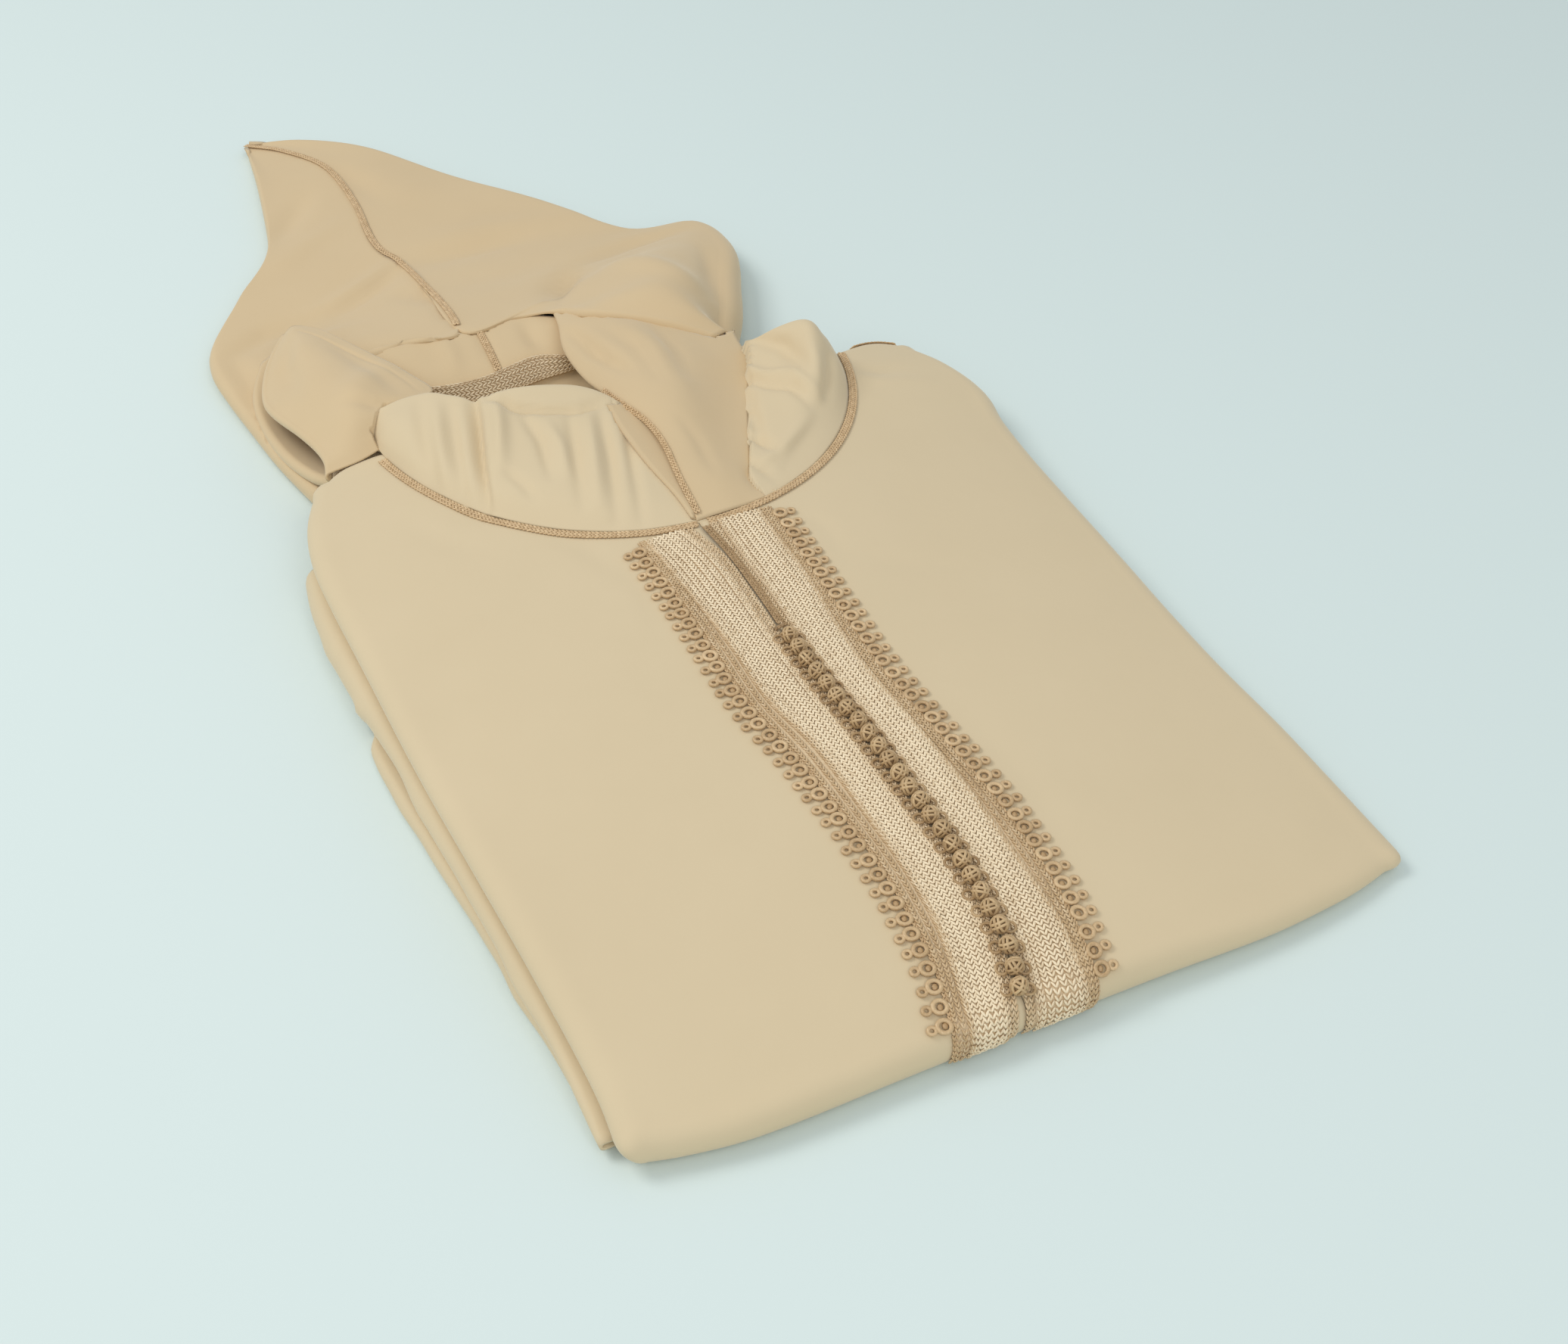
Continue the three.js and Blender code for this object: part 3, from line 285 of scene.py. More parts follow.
def surface(
    name: str, roughness: float, gloss: float, sheen: float = 0.0
) -> tuple[bpy.types.Material, bpy.types.Node]:
    """Starts a material on the plain shader.

    Args:
        name: Name of the material.
        roughness: Roughness of its surface.
        gloss: Its specular level.
        sheen: Its sheen.

    Returns:
        The material and its shader.
    """
    made = bpy.data.materials.new(name)
    made.use_nodes = True
    shader = made.node_tree.nodes["Principled BSDF"]
    shader.inputs["Roughness"].default_value = roughness
    shader.inputs["Specular IOR Level"].default_value = gloss
    shader.inputs["Sheen Weight"].default_value = sheen
    return made, shader


@dataclass(frozen=True)
class ClothFinish:
    """Matte crepe in one colour."""

    name: str
    light: Triple
    dark: Triple
    roughness: float = 0.82
    gloss: float = 0.25
    sheen: float = 0.35
    relief: float = 0.0005

    def material(self, group: bpy.types.NodeTree) -> bpy.types.Material:
        """Builds the material on the shared weave group."""
        made, shader = surface(self.name, self.roughness, self.gloss, self.sheen)
        shader.inputs["Sheen Roughness"].default_value = 0.4
        shader.inputs["Sheen Tint"].default_value = (1.0, 0.93, 0.82, 1.0)
        n = Nodes(made.node_tree)
        weave = n.add("ShaderNodeGroup", node_tree=group, Grain=2600.0, Mottle=14.0)
        mix = n.add("ShaderNodeMix", data_type="RGBA")
        mix.inputs[6].default_value = (*self.dark, 1.0)
        mix.inputs[7].default_value = (*self.light, 1.0)
        n.feed(mix.inputs[0], weave.outputs["Shade"])
        n.feed(shader.inputs["Base Color"], mix.outputs[2])
        n.feed(shader.inputs["Normal"], n.bump(weave.outputs["Height"], self.relief, 0.5))
        return made


@dataclass(frozen=True)
class ThreadFinish:
    """Silk thread whose shade follows each stitch's own tone, darkened with painted shade in the grooves
    between strands.
    """

    name: str
    light: Triple
    middle: Triple
    dark: Triple
    roughness: float = 0.38
    gloss: float = 0.5
    sheen: float = 0.06
    relief: float = 0.0003

    def material(self, group: bpy.types.NodeTree) -> bpy.types.Material:
        """Builds the material, which reads the tone attribute of the stitches."""
        made, shader = surface(self.name, self.roughness, self.gloss, self.sheen)
        n = Nodes(made.node_tree)
        thread = n.add("ShaderNodeGroup", node_tree=group)
        tone = n.add("ShaderNodeAttribute", attribute_name="tone")
        # painted shade: the tone drops where the thread's bump lies low
        groove_shade = n.math("MULTIPLY", n.math("SUBTRACT", thread.outputs["Shade"], 0.5), 0.5)
        shades = n.add("ShaderNodeValToRGB")
        stops = shades.color_ramp.elements
        stops[0].color = (*self.dark, 1.0)
        stops[1].color = (*self.light, 1.0)
        stops.new(0.5).color = (*self.middle, 1.0)
        n.feed(shades.inputs["Fac"], n.math("ADD", tone.outputs["Fac"], groove_shade))
        n.feed(shader.inputs["Base Color"], shades.outputs["Color"])
        n.feed(shader.inputs["Normal"], n.bump(thread.outputs["Height"], self.relief, 0.6))
        return made


CREPE = ClothFinish("crepe", (0.700, 0.568, 0.374), (0.636, 0.512, 0.328))
HOOD_CREPE = ClothFinish("crepe_hood", (0.672, 0.514, 0.314), (0.612, 0.460, 0.272))
TRIM_SILK = ThreadFinish("trim_silk", (0.920, 0.760, 0.530), (0.560, 0.380, 0.195), (0.220, 0.125, 0.050))
EDGING_SILK = ThreadFinish("edging_silk", (0.780, 0.570, 0.330), (0.480, 0.310, 0.150), (0.180, 0.098, 0.040))
# the knot silk's dark end is what the knots' core takes: painted shade between the rings
KNOT_SILK = ThreadFinish("knot_silk", (0.640, 0.450, 0.240), (0.380, 0.235, 0.105), (0.120, 0.062, 0.026))


class Finishes:
    """The garment's materials, built once."""

    def __init__(self) -> None:
        """Builds the shared node groups and each material."""
        cloth, thread = build_cloth_group(), build_thread_group()
        self.crepe, self.hood = CREPE.material(cloth), HOOD_CREPE.material(cloth)
        self.trim, self.edging, self.knot = (f.material(thread) for f in (TRIM_SILK, EDGING_SILK, KNOT_SILK))


# ------------------------------------------------------------------ creases and sheets
@dataclass(frozen=True)
class Crease:
    """A soft ridge (rise above 0) or trough (below 0) in a sheet, along a line seen from above."""

    path: tuple[tuple[float, float], ...]
    width: float
    rise: float
    lean: float = 0.0

    def lift(self, x: float, y: float) -> float:
        """Height that the crease adds at a place, in millimetres."""
        total = len(self.path) - 1
        best = 0.0
        for k in range(total):
            (ax, ay), (bx, by) = self.path[k], self.path[k + 1]
            dx, dy = bx - ax, by - ay
            long = math.hypot(dx, dy)
            t = clamp(((x - ax) * dx + (y - ay) * dy) / (long * long), 0.0, 1.0)
            px, py = x - ax - dx * t, y - ay - dy * t
            away = math.hypot(px, py)
            if away > self.width * 2:
                continue
            side = math.copysign(1.0, px * dy - py * dx)
            share = away / (self.width * (1 + self.lean * side))
            run = (k + t) / total
            fade = math.sin(math.pi * clamp(0.06 + 0.88 * run, 0, 1)) ** 0.8
            value = self.rise * math.exp(-2.2 * share * share) * fade
            if abs(value) > abs(best):
                best = value
        return best


@dataclass(frozen=True)
class Rumple:
    """Slow unevenness of a sheet: two sizes of wave with their heights, in millimetres."""

    long: float = 90.0
    short: float = 34.0
    long_rise: float = 0.8
    short_rise: float = 0.25
    seed: float = 0.0

    def lift(self, p: Vector) -> float:
        """Height that the unevenness adds at a point."""
        slow = noise.noise(Vector((p.x / self.long, p.y / self.long, p.z / self.long + self.seed)))
        quick = noise.noise(Vector((p.x / self.short, p.y / self.short, p.z / self.short - self.seed)))
        return self.long_rise * slow + self.short_rise * quick


def grid_form(rows: Grid, scale: float = 1.0) -> bmesh.types.BMesh:
    """A grid that runs through rows of points.

    Args:
        rows: Rows of points.
        scale: Factor from the points' unit to the mesh's.

    Returns:
        The grid as a bmesh.
    """
    last_row, last_column = len(rows) - 1, len(rows[0]) - 1
    bm = bmesh.new()
    bmesh.ops.create_grid(bm, x_segments=last_column, y_segments=last_row, size=0.5)
    for vertex in bm.verts:
        i = round((vertex.co.y + 0.5) * last_row)
        j = round((vertex.co.x + 0.5) * last_column)
        vertex.co = rows[i][j] * scale
    return bm


def turn_up(bm: bmesh.types.BMesh) -> None:
    """Turns a sheet's faces so that they look up on average."""
    bm.normal_update()
    if sum(f.normal.z * f.calc_area() for f in bm.faces) < 0:
        bmesh.ops.reverse_faces(bm, faces=bm.faces)


def put(label: str, mesh: bpy.types.Mesh, material: bpy.types.Material) -> bpy.types.Object:
    """Puts a mesh into the scene as an object with its material."""
    obj = bpy.data.objects.new(label, mesh)
    bpy.context.scene.collection.objects.link(obj)
    obj.data.materials.append(material)
    return obj


@dataclass
class ClothSheet:
    """One piece of cloth: a grid of points, its creases and its finish."""

    name: str
    grid: Grid
    material: bpy.types.Material
    flat: tuple[float, float]
    creases: tuple[Crease, ...] = ()
    rumple: Rumple = Rumple()
    thick: float = 1.5
    lowest: float = 0.2
    drop: Optional[Callable[[Vector], bool]] = None
    rests_on: tuple[str, ...] = ("folded_layers",)

    def normals(self) -> Grid:
        """Unit normals of the grid, turned to point up on average."""
        grid, rows, columns = self.grid, len(self.grid) - 1, len(self.grid[0]) - 1
        result = []
        for i, row in enumerate(grid):
            line = []
            for j in range(len(row)):
                along = grid[min(rows, i + 1)][j] - grid[max(0, i - 1)][j]
                across = row[min(columns, j + 1)] - row[max(0, j - 1)]
                line.append(along.cross(across).normalized())
            result.append(line)
        if sum(n.z for line in result for n in line) < 0:
            result = [[-n for n in line] for line in result]
        return result

    def shape(self) -> None:
        """Adds the creases and the unevenness to the grid."""
        shaped = []
        for row, normals in zip(self.grid, self.normals()):
            line = []
            for p, n in zip(row, normals):
                lift = self.rumple.lift(p) + sum(c.lift(p.x, p.y) for c in self.creases)
                line.append(p + n * lift * facing_up(n.z))
            shaped.append(line)
        self.grid = shaped

    def tuck_under(self, covers: Sequence["ClothSheet"], clear: float = 0.2) -> None:
        """Lowers the points that would come through sheets that lie on this one.

        Args:
            covers: Sheets that lie above.
            clear: Space left below them, in millimetres.
        """
        trees = [cover.tree() for cover in covers]
        for row in self.grid:
            for p in row:
                for tree, cover in zip(trees, covers):
                    hit = tree.ray_cast(Vector((p.x, p.y, ABOVE)), DOWN)[0]
                    if hit is not None:
                        p.z = min(p.z, hit.z - cover.thick - clear)
                p.z = max(p.z, self.lowest)

    def tree(self) -> BVHTree:
        """The grid's faces, for finding where the sheet lies."""
        columns = len(self.grid[0])
        faces = []
        for i in range(len(self.grid) - 1):
            for j in range(columns - 1):
                a = i * columns + j
                faces.append((a, a + 1, a + columns + 1, a + columns))
        return BVHTree.FromPolygons([p for row in self.grid for p in row], faces)

    def build(self) -> bpy.types.Object:
        """Returns:
            The finished object.
        """
        bm = grid_form(self.grid, MM)
        if self.drop is not None:
            gone = [f for f in bm.faces if self.drop(f.calc_center_median() / MM)]
            bmesh.ops.delete(bm, geom=gone, context="FACES")
        bmesh.ops.remove_doubles(bm, verts=bm.verts, dist=0.00002)
        turn_up(bm)
        for f in bm.faces:
            f.smooth = True
        area = sum(f.calc_area() for f in bm.faces)
        label = f"{self.name}_cloth"
        mesh = bpy.data.meshes.new(label)
        bm.to_mesh(mesh)
        bm.free()
        obj = put(label, mesh, self.material)
        wall = obj.modifiers.new("wall", "SOLIDIFY")
        wall.thickness = self.thick * MM
        wall.offset = -1.0
        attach(obj, BODY)
        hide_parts(self.name)
        width, length = self.flat
        LOG.info("%s: %.4f square metres, %.2f of its cut", self.name, area, area / (width * length))
        return obj


# ------------------------------------------------------------------ places on a surface
@dataclass(frozen=True)
class Station:
    """A place on a path: a point and the unit vectors across, up and along."""

    p: Vector
    side: Vector
    up: Vector
    along: Vector

    def matrix(self, across: float = 0.0, rise: float = 0.0, turn: float = 0.0) -> Matrix:
        """Placement of a small piece beside the path, turned about the surface's normal."""
        place = self.p + self.side * across + self.up * rise
        basis = Matrix((self.side, self.along, self.up)).transposed().to_4x4()
        return Matrix.Translation(place) @ basis @ Matrix.Rotation(turn, 4, "Z")


class Path:
    """A line of stations in millimetres, read by its length."""

    def __init__(self, points: Sequence[Vector], ups: Sequence[Vector]) -> None:
        """Measures the line.

        Args:
            points: Points along it.
            ups: The surface's normal at each point.
        """
        self.points, self.ups = list(points), list(ups)
        self.runs = [0.0]
        for a, b in zip(self.points, self.points[1:]):
            self.runs.append(self.runs[-1] + (b - a).length)

    @classmethod
    def through(cls, stations: Sequence[Station]) -> "Path":
        """The line through places on a surface."""
        return cls([s.p for s in stations], [s.up for s in stations])

    @property
    def length(self) -> float:
        """Length of the line."""
        return self.runs[-1]

    def at(self, run: float) -> Station:
        """Station at a distance from the start."""
        run = clamp(run, 0.0, self.length)
        k = 0
        while k < len(self.runs) - 2 and run > self.runs[k + 1]:
            k += 1
        t = (run - self.runs[k]) / max(1e-6, self.runs[k + 1] - self.runs[k])
        p = self.points[k].lerp(self.points[k + 1], t)
        ahead = (self.points[k + 1] - self.points[k]).normalized()
        up = self.ups[k].lerp(self.ups[k + 1], t)
        up = (up - ahead * up.dot(ahead)).normalized()
        return Station(p, ahead.cross(up).normalized(), up, ahead)


# ------------------------------------------------------------------ the packet
@dataclass
class Packet:
    """The folded body of the garment, in millimetres."""

    reach: float = 12.0
    under_lip: float = 10.0
    top_layer: float = 15.0
    pointed_left: float = 0.7
    pointed_right: float = 0.5
    middle_x: float = -5.0
    neck_x: float = -3.0
    neck_y: float = 284.0
    neck_half_width: float = 141.0
    neck_depth: float = 162.0
    slit_half: float = 0.3
    fall_left: float = 2.2
    fall_right: float = 1.9
    fold_least: float = 9.6
    turn_steps: int = 12
    low_y: float = -214.0
    high_y: float = 250.0
    sides: Table = Table(
        ("y", "left", "right"),
        (
            (-226, -191, 214), (-195, -190, 212), (-134, -193, 208), (-61, -197, 203), (20, -201, 202),
            (120, -203, 201), (172, -204, 203), (206, -203, 207), (235, -197, 201), (250, -187, 191),
            (264, -172, 176),
        ),
    )
    ends: Table = Table(
        ("x", "bottom", "top"),
        (
            (-193, -221, 240), (-165, -228, 264), (-130, -232, 266), (-60, -230, 264), (0, -228, 262),
            (70, -226, 259), (130, -225, 258), (166, -221, 268), (186, -217, 257), (212, -209, 232),
        ),
    )
    heights: Table = Table(
        ("y", "left", "middle", "right"),
        (
            (-219, 20, 22, 10), (-205, 25, 27, 12), (-190, 29, 31, 14), (-150, 34, 35, 18),
            (-100, 37, 39, 21), (0, 38, 44, 24), (110, 38, 46, 26), (200, 38, 46, 27), (250, 36, 44, 26),
        ),
    )
    knot_line: Table = Table(
        ("y", "x"),
        (
            (118, -9), (90, -6), (50, -5), (20, -5), (-20, -3), (-60, 1), (-110, 4), (-145, 6), (-175, 5),
            (-200, 3), (-225, -3), (-260, -8),
        ),
    )
    creases: tuple[Crease, ...] = (
        Crease(((-128, 190), (-112, 176), (-92, 168)), 9, -0.9),
        Crease(((-150, 196), (-140, 172), (-124, 152)), 12, -0.7),
        Crease(((-86, 150), (-70, 126), (-62, 96)), 10, -0.8),
        Crease(((-58, 112), (-56, 84), (-60, 52)), 8, -0.6),
        Crease(((138, 232), (152, 226), (166, 228)), 6, -1.3),
        Crease(((134, 222), (150, 214), (172, 212)), 7, 0.9),
        Crease(((44, 112), (52, 92), (50, 66)), 8, -0.6),
        Crease(((60, 60), (84, 46), (112, 40)), 12, -0.5),
        Crease(((60, -196), (110, -190), (160, -186)), 14, -0.9),
        Crease(((-150, -192), (-90, -198), (-54, -206)), 14, -0.8),
        Crease(((52, -60), (60, -120), (56, -170)), 12, -0.5),
    )
    rumple: Rumple = Rumple(110.0, 42.0, 0.9, 0.22, 3.1)

    def left_inset(self, y: float) -> float:
        """Where the left edge starts to turn over."""
        return self.sides.read(y, "left") + self.reach

    def right_inset(self, y: float) -> float:
        """Where the right edge starts to turn over."""
        return self.sides.read(y, "right") - self.reach

    def bottom_inset(self, x: float) -> float:
        """Where the bottom fold starts to turn over."""
        return self.ends.read(x, "bottom") + self.reach

    def top_inset(self, x: float) -> float:
        """Where the shoulder edge starts to turn over."""
        return self.ends.read(x, "top") - self.reach

    def height(self, x: float, y: float) -> float:
        """Height of the packet's top face."""
        middle = self.heights.read(y, "middle")
        if x < self.middle_x:
            t = clamp((self.middle_x - x) / (self.middle_x - self.left_inset(y)), 0, 1)
            return middle + (self.heights.read(y, "left") - middle) * t**self.fall_left
        t = clamp((x - self.middle_x) / (self.right_inset(y) - self.middle_x), 0, 1)
        return middle + (self.heights.read(y, "right") - middle) * t**self.fall_right

    def lift(self, p: Vector) -> float:
        """What the creases and rumples add to the top face."""
        return self.rumple.lift(p) + sum(c.lift(p.x, p.y) for c in self.creases)

    def skin(self, u: float, v: float, a: float, b: float) -> Vector:
        """A point of the packet's skin.

        Args:
            u: Place between the left and right insets, 0 to 1.
            v: Place between the bottom and top insets, 0 to 1.
            a: Turn over a side edge, -2 to 2; 1 is underneath and 2 the end of the lip.
            b: Turn over the bottom fold or the shoulder edge.

        Returns:
            The point in millimetres.
        """
        nominal = self.low_y + (self.high_y - self.low_y) * v
        left, right = self.left_inset(nominal), self.right_inset(nominal)
        x = left + (right - left) * u
        low, high = self.bottom_inset(x), self.top_inset(x)
        y = low + (high - low) * v
        h = self.height(x, y)
        m = max(abs(a), abs(b))
        if m == 0:
            return Vector((x, y, h))
        share = abs(b / a) if abs(a) >= abs(b) else 2 - abs(a / b)
        angle = share * math.pi / 4
        sharp = 1.0
        if b < 0 and a != 0:
            sharp = self.pointed_right if a > 0 else self.pointed_left
        dx = math.copysign(1, a) * abs(math.cos(angle)) ** sharp if a else 0.0
        dy = math.copysign(1, b) * abs(math.sin(angle)) ** sharp if b else 0.0
        open_share = clamp((dx * dx if dx < 0 else 0) + (dy * dy if dy > 0 else 0), 0, 1)
        low_z = max(0.0, h - self.top_layer) * open_share
        half = (h - low_z) / 2
        turn = min(m, 1.0) * math.pi
        reach = self.reach * math.sin(turn) - max(0.0, m - 1) * self.under_lip
        return Vector((x + dx * reach, y + dy * reach, low_z + half * (1 + math.cos(turn))))

    def on_front(self, x: float, q: float) -> Station:
        """A place on the front.

        Args:
            x: Place across the garment.
            q: Place along it, running on over the bottom fold.

        Returns:
            The place, with its unit vectors across, up and towards the hem.
        """

        def place(px: float, pq: float) -> Vector:
            """The bare surface at a place."""
            edge = self.bottom_inset(px)
            if pq >= edge:
                p = Vector((px, pq, self.height(px, pq)))
                p.z += self.lift(p)
                return p
            half = self.height(px, edge) / 2
            turn = min((edge - pq) / ((self.reach + half) / 2), math.pi)
            p = Vector((px, edge - self.reach * math.sin(turn), half * (1 + math.cos(turn))))
            over = self.lift(p) * facing_up(math.cos(turn))
            return p + Vector((0, -math.sin(turn), math.cos(turn))) * over

        side = (place(x + 0.5, q) - place(x - 0.5, q)).normalized()
        along = (place(x, q - 0.5) - place(x, q + 0.5)).normalized()
        return Station(place(x, q), side, side.cross(-along).normalized(), along)

    def line_down(
        self, across: Callable[[float], float], top: float, end: float, step: float = 4.0
    ) -> list[Station]:
        """Places down the front.

        Args:
            across: Function from the place along the garment to the place across it.
            top: Where the line starts.
            end: Where it has to stop.
            step: Distance between the places.

        Returns:
            The places in order.
        """
        stations = []
        q = top
        while q > end:
            stations.append(self.on_front(across(q), q))
            q -= step
        return stations

    def in_neck(self, p: Vector, margin: float = 4.0) -> bool:
        """Whether a point lies inside the neck opening."""
        x = (p.x - self.neck_x) / (self.neck_half_width - margin)
        y = (p.y - self.neck_y) / (self.neck_depth - margin)
        return (x * x + y * y < 1 and y <= 0) or (abs(x) < 1 and y > 0)

    def front_grid(self, side: Side, along: int = 120, across: int = 56) -> Grid:
        """Grid of one half of the front, from a side edge to the slit of the placket."""
        turns = [2.0, 1.5] + [k / self.turn_steps for k in range(self.turn_steps, 0, -1)]
        stations = [(0.0, -m) for m in turns]
        stations += [(v / along, 0.0) for v in range(along + 1)]
        stations += [(1.0, m) for m in reversed(turns)]
        sign = side.sign
        edge = 0.0 if side is Side.LEFT else 1.0
        grid = []
        for v, b in stations:
            y = self.low_y + (self.high_y - self.low_y) * v
            slit = self.knot_line.read(y, "x") + sign * self.slit_half
            slit_u = (slit - self.left_inset(y)) / (self.right_inset(y) - self.left_inset(y))
            row = [self.skin(edge, v, sign * m, b) for m in turns]
            row += [self.skin(edge + (slit_u - edge) * t / across, v, 0, b) for t in range(across + 1)]
            grid.append(row)
        return grid

    def side_fold(self, table: Table, steps: int = 90) -> Grid:
        """Grid of a rolled fold of the body along the left edge."""
        first, last = table.rows[0][0], table.rows[-1][0]
        grid = []
        for i in range(steps + 1):
            y = first + (last - first) * i / steps
            outer, reach = table.read(y, "outer"), table.read(y, "reach")
            stack = max(self.fold_least, self.heights.read(y, "left") - self.top_layer - 1)
            low = stack * table.read(y, "low")
            radius = (stack * table.read(y, "high") - low) / 2
            row = [Vector((outer + reach, y, low + 2 * radius))]
            for k in range(self.turn_steps + 1):
                angle = math.pi * k / self.turn_steps
                x = outer + radius * (1 - math.sin(angle))
                row.append(Vector((x, y, low + radius * (1 + math.cos(angle)))))
            row.append(Vector((outer + radius + 6, y, low)))
            grid.append(row)
        return grid


UPPER_FOLD = Table(
    ("y", "outer", "reach", "low", "high"),
    (
        (206, -203, 14, 0.3, 0.75), (198, -207, 24, 0.2, 0.95), (150, -211, 28, 0.15, 0.97),
        (90, -209, 26, 0.3, 1), (40, -206, 24, 0.47, 1), (-60, -201, 24, 0.5, 1), (-140, -197, 24, 0.5, 1),
        (-209, -195, 22, 0.44, 1),
    ),
)
LOWER_FOLD = Table(
    ("y", "outer", "reach", "low", "high"),
    (
        (82, -204, 16, 0, 0.26), (66, -211, 26, 0, 0.34), (0, -208, 28, 0, 0.44), (-90, -200, 26, 0, 0.46),
        (-160, -195, 24, 0, 0.46), (-206, -192, 22, 0, 0.38),
    ),
)
SIDE_CREASES = (
    Crease(((-212, 150), (-200, 120), (-196, 92)), 7, -1.8),
    Crease(((-214, 96), (-202, 84), (-192, 76)), 5, -2.2),
    Crease(((-210, 30), (-200, -6), (-196, -40)), 8, -1.4),
    Crease(((-206, -92), (-196, -120), (-190, -150)), 7, -1.6),
)


@dataclass
class Body:
    """Front panels and side folds of the packet."""

    packet: Packet
    finishes: Finishes
    front_flat: tuple[float, float] = (0.24, 0.50)
    fold_width: float = 0.05

    def build(self) -> list[ClothSheet]:
        """Builds the front's two halves and the two folds beside them."""
        sheets = []
        packet, crepe = self.packet, self.finishes.crepe
        for side in Side:
            sheets.append(ClothSheet(
                f"front_{side.value}", packet.front_grid(side), crepe, self.front_flat,
                packet.creases, packet.rumple, drop=packet.in_neck,
            ))
        for name, table, seed in (("side_fold_upper", UPPER_FOLD, 5.0), ("side_fold_lower", LOWER_FOLD, 9.0)):
            flat = (self.fold_width, abs(table.rows[-1][0] - table.rows[0][0]) * MM)
            uneven = Rumple(60.0, 25.0, 1.2, 0.4, seed)
            grid = packet.side_fold(table)
            sheets.append(ClothSheet(name, grid, crepe, flat, SIDE_CREASES, uneven, rests_on=()))
        return sheets


# ------------------------------------------------------------------ the hood and the throat
HOOD_RIGHT_CREASES = (
    Crease(((-74, 640), (-58, 606), (-50, 570)), 14, -1.9),
    Crease(((-59, 481), (-21, 483), (19, 484)), 12, -2.9),
    Crease(((-52, 502), (0, 507), (58, 498)), 16, 1.9),
    Crease(((-52, 440), (-8, 432), (28, 440)), 14, -1.9),
    Crease(((31, 415), (14, 392), (2, 366)), 11, -7.2, 0.2),
    Crease(((32, 421), (73, 434), (112, 438)), 12, -4.2),
    Crease(((43, 398), (66, 358), (82, 330)), 16, 3.2),
    Crease(((112, 402), (104, 372), (92, 338)), 10, -2.6),
)
HOOD_LEFT_CREASES = (
    Crease(((-93, 601), (-112, 575), (-128, 552)), 13, -3.0),
    Crease(((-80, 560), (-110, 540), (-140, 516)), 14, 1.8),
    Crease(((-63, 494), (-86, 477), (-113, 463), (-133, 458)), 9, 2.7, 0.3),
    Crease(((-66, 482), (-90, 462), (-118, 448)), 8, -2.7),
    Crease(((-139, 448), (-161, 448), (-188, 432)), 12, -3.0),
    Crease(((-188, 428), (-185, 397), (-187, 371)), 9, -3.0),
    Crease(((-57, 411), (-66, 434), (-80, 448)), 10, -2.7),
    Crease(((-110, 420), (-140, 424), (-165, 410)), 12, 2.1),
)
THROAT_CREASES = (
    Crease(((-84, 266), (-91, 238), (-100, 206), (-107, 178)), 5.4, -7.6, 0.5),
    Crease(((-76, 254), (-82, 229), (-93, 196)), 6.3, 4.8),
    Crease(((-80, 256), (-69, 241), (-54, 232), (-36, 226), (-20, 227)), 4.5, -6.1),
    Crease(((-76, 260), (-61, 252), (-36, 243), (-20, 234)), 7.2, 2.4),
    Crease(((-67, 236), (-66, 208), (-71, 178)), 4.5, -2.9),
    Crease(((-43, 226), (-51, 194), (-63, 152)), 5.4, -2.7),
    Crease(((-57, 222), (-57, 200), (-62, 176)), 4.5, 2.2),
    Crease(((-26, 222), (-35, 183), (-49, 138)), 5.4, -3.1),
    Crease(((-34, 218), (-43, 186), (-54, 150)), 4.5, 2.0),
    Crease(((-14, 219), (-24, 179), (-37, 132)), 4.5, -2.4),
    Crease(((-113, 280), (-121, 246), (-127, 212)), 7.2, -2.4),
    Crease(((-100, 262), (-110, 222), (-117, 188)), 6.3, -3.1),
    Crease(((-106, 268), (-115, 234), (-121, 204)), 5.4, 2.0),
    Crease(((-92, 196), (-86, 180), (-84, 168)), 4.5, -1.7),
)
STRIP_CREASES = (
    Crease(((-8, 319), (-5, 283), (2, 250)), 5, -4.1),
    Crease(((25, 306), (27, 257), (22, 206)), 12, 2.4),
    Crease(((8, 312), (16, 273), (14, 232)), 7, -2.2),
    Crease(((40, 300), (38, 268), (30, 236)), 7, -2.7),
    Crease(((12, 200), (14, 176), (12, 150)), 6, -1.4),
)
NECK_CREASES = (
    Crease(((68, 252), (76, 229), (90, 216), (95, 192)), 4.5, 3.3),
    Crease(((66, 241), (73, 219), (84, 206), (87, 188)), 4.5, -3.6),
    Crease(((84, 264), (94, 242), (97, 220)), 6.3, -4.8),
    Crease(((110, 240), (104, 218), (96, 198)), 6.3, 3.3),
    Crease(((122, 236), (112, 214), (98, 192)), 4.5, -2.4),
    Crease(((40, 190), (48, 176), (54, 158)), 4.5, -3.3),
    Crease(((67, 231), (57, 204), (50, 172)), 5.4, -4.2),
    Crease(((32, 150), (55, 159), (84, 180)), 5.4, 2.1),
    Crease(((32, 168), (38, 152), (44, 139)), 3.6, -2.4),
)
CHEEK_CREASES = (
    Crease(((-112, 342), (-140, 310), (-160, 268)), 16, 2.5),
    Crease(((-157, 404), (-168, 371), (-170, 334)), 9, -2.5),
    Crease(((-137, 377), (-127, 335), (-118, 298)), 10, -2.1),
    Crease(((-150, 409), (-140, 389), (-128, 361), (-120, 339), (-111, 317), (-107, 300)), 1.8, -1.1),
    Crease(((-152, 300), (-136, 290), (-118, 288)), 7, -2.2),
)
BRIM_CREASES = (
    Crease(((-118, 366), (-112, 346), (-100, 328)), 8, -2.4),
    Crease(((-24, 360), (-25, 340), (-24, 326)), 9, -2.4),
    Crease(((-74, 363), (-75, 343), (-78, 326)), 9, 2.0),
    Crease(((-52, 362), (-53, 344), (-54, 326)), 7, -1.5),
)


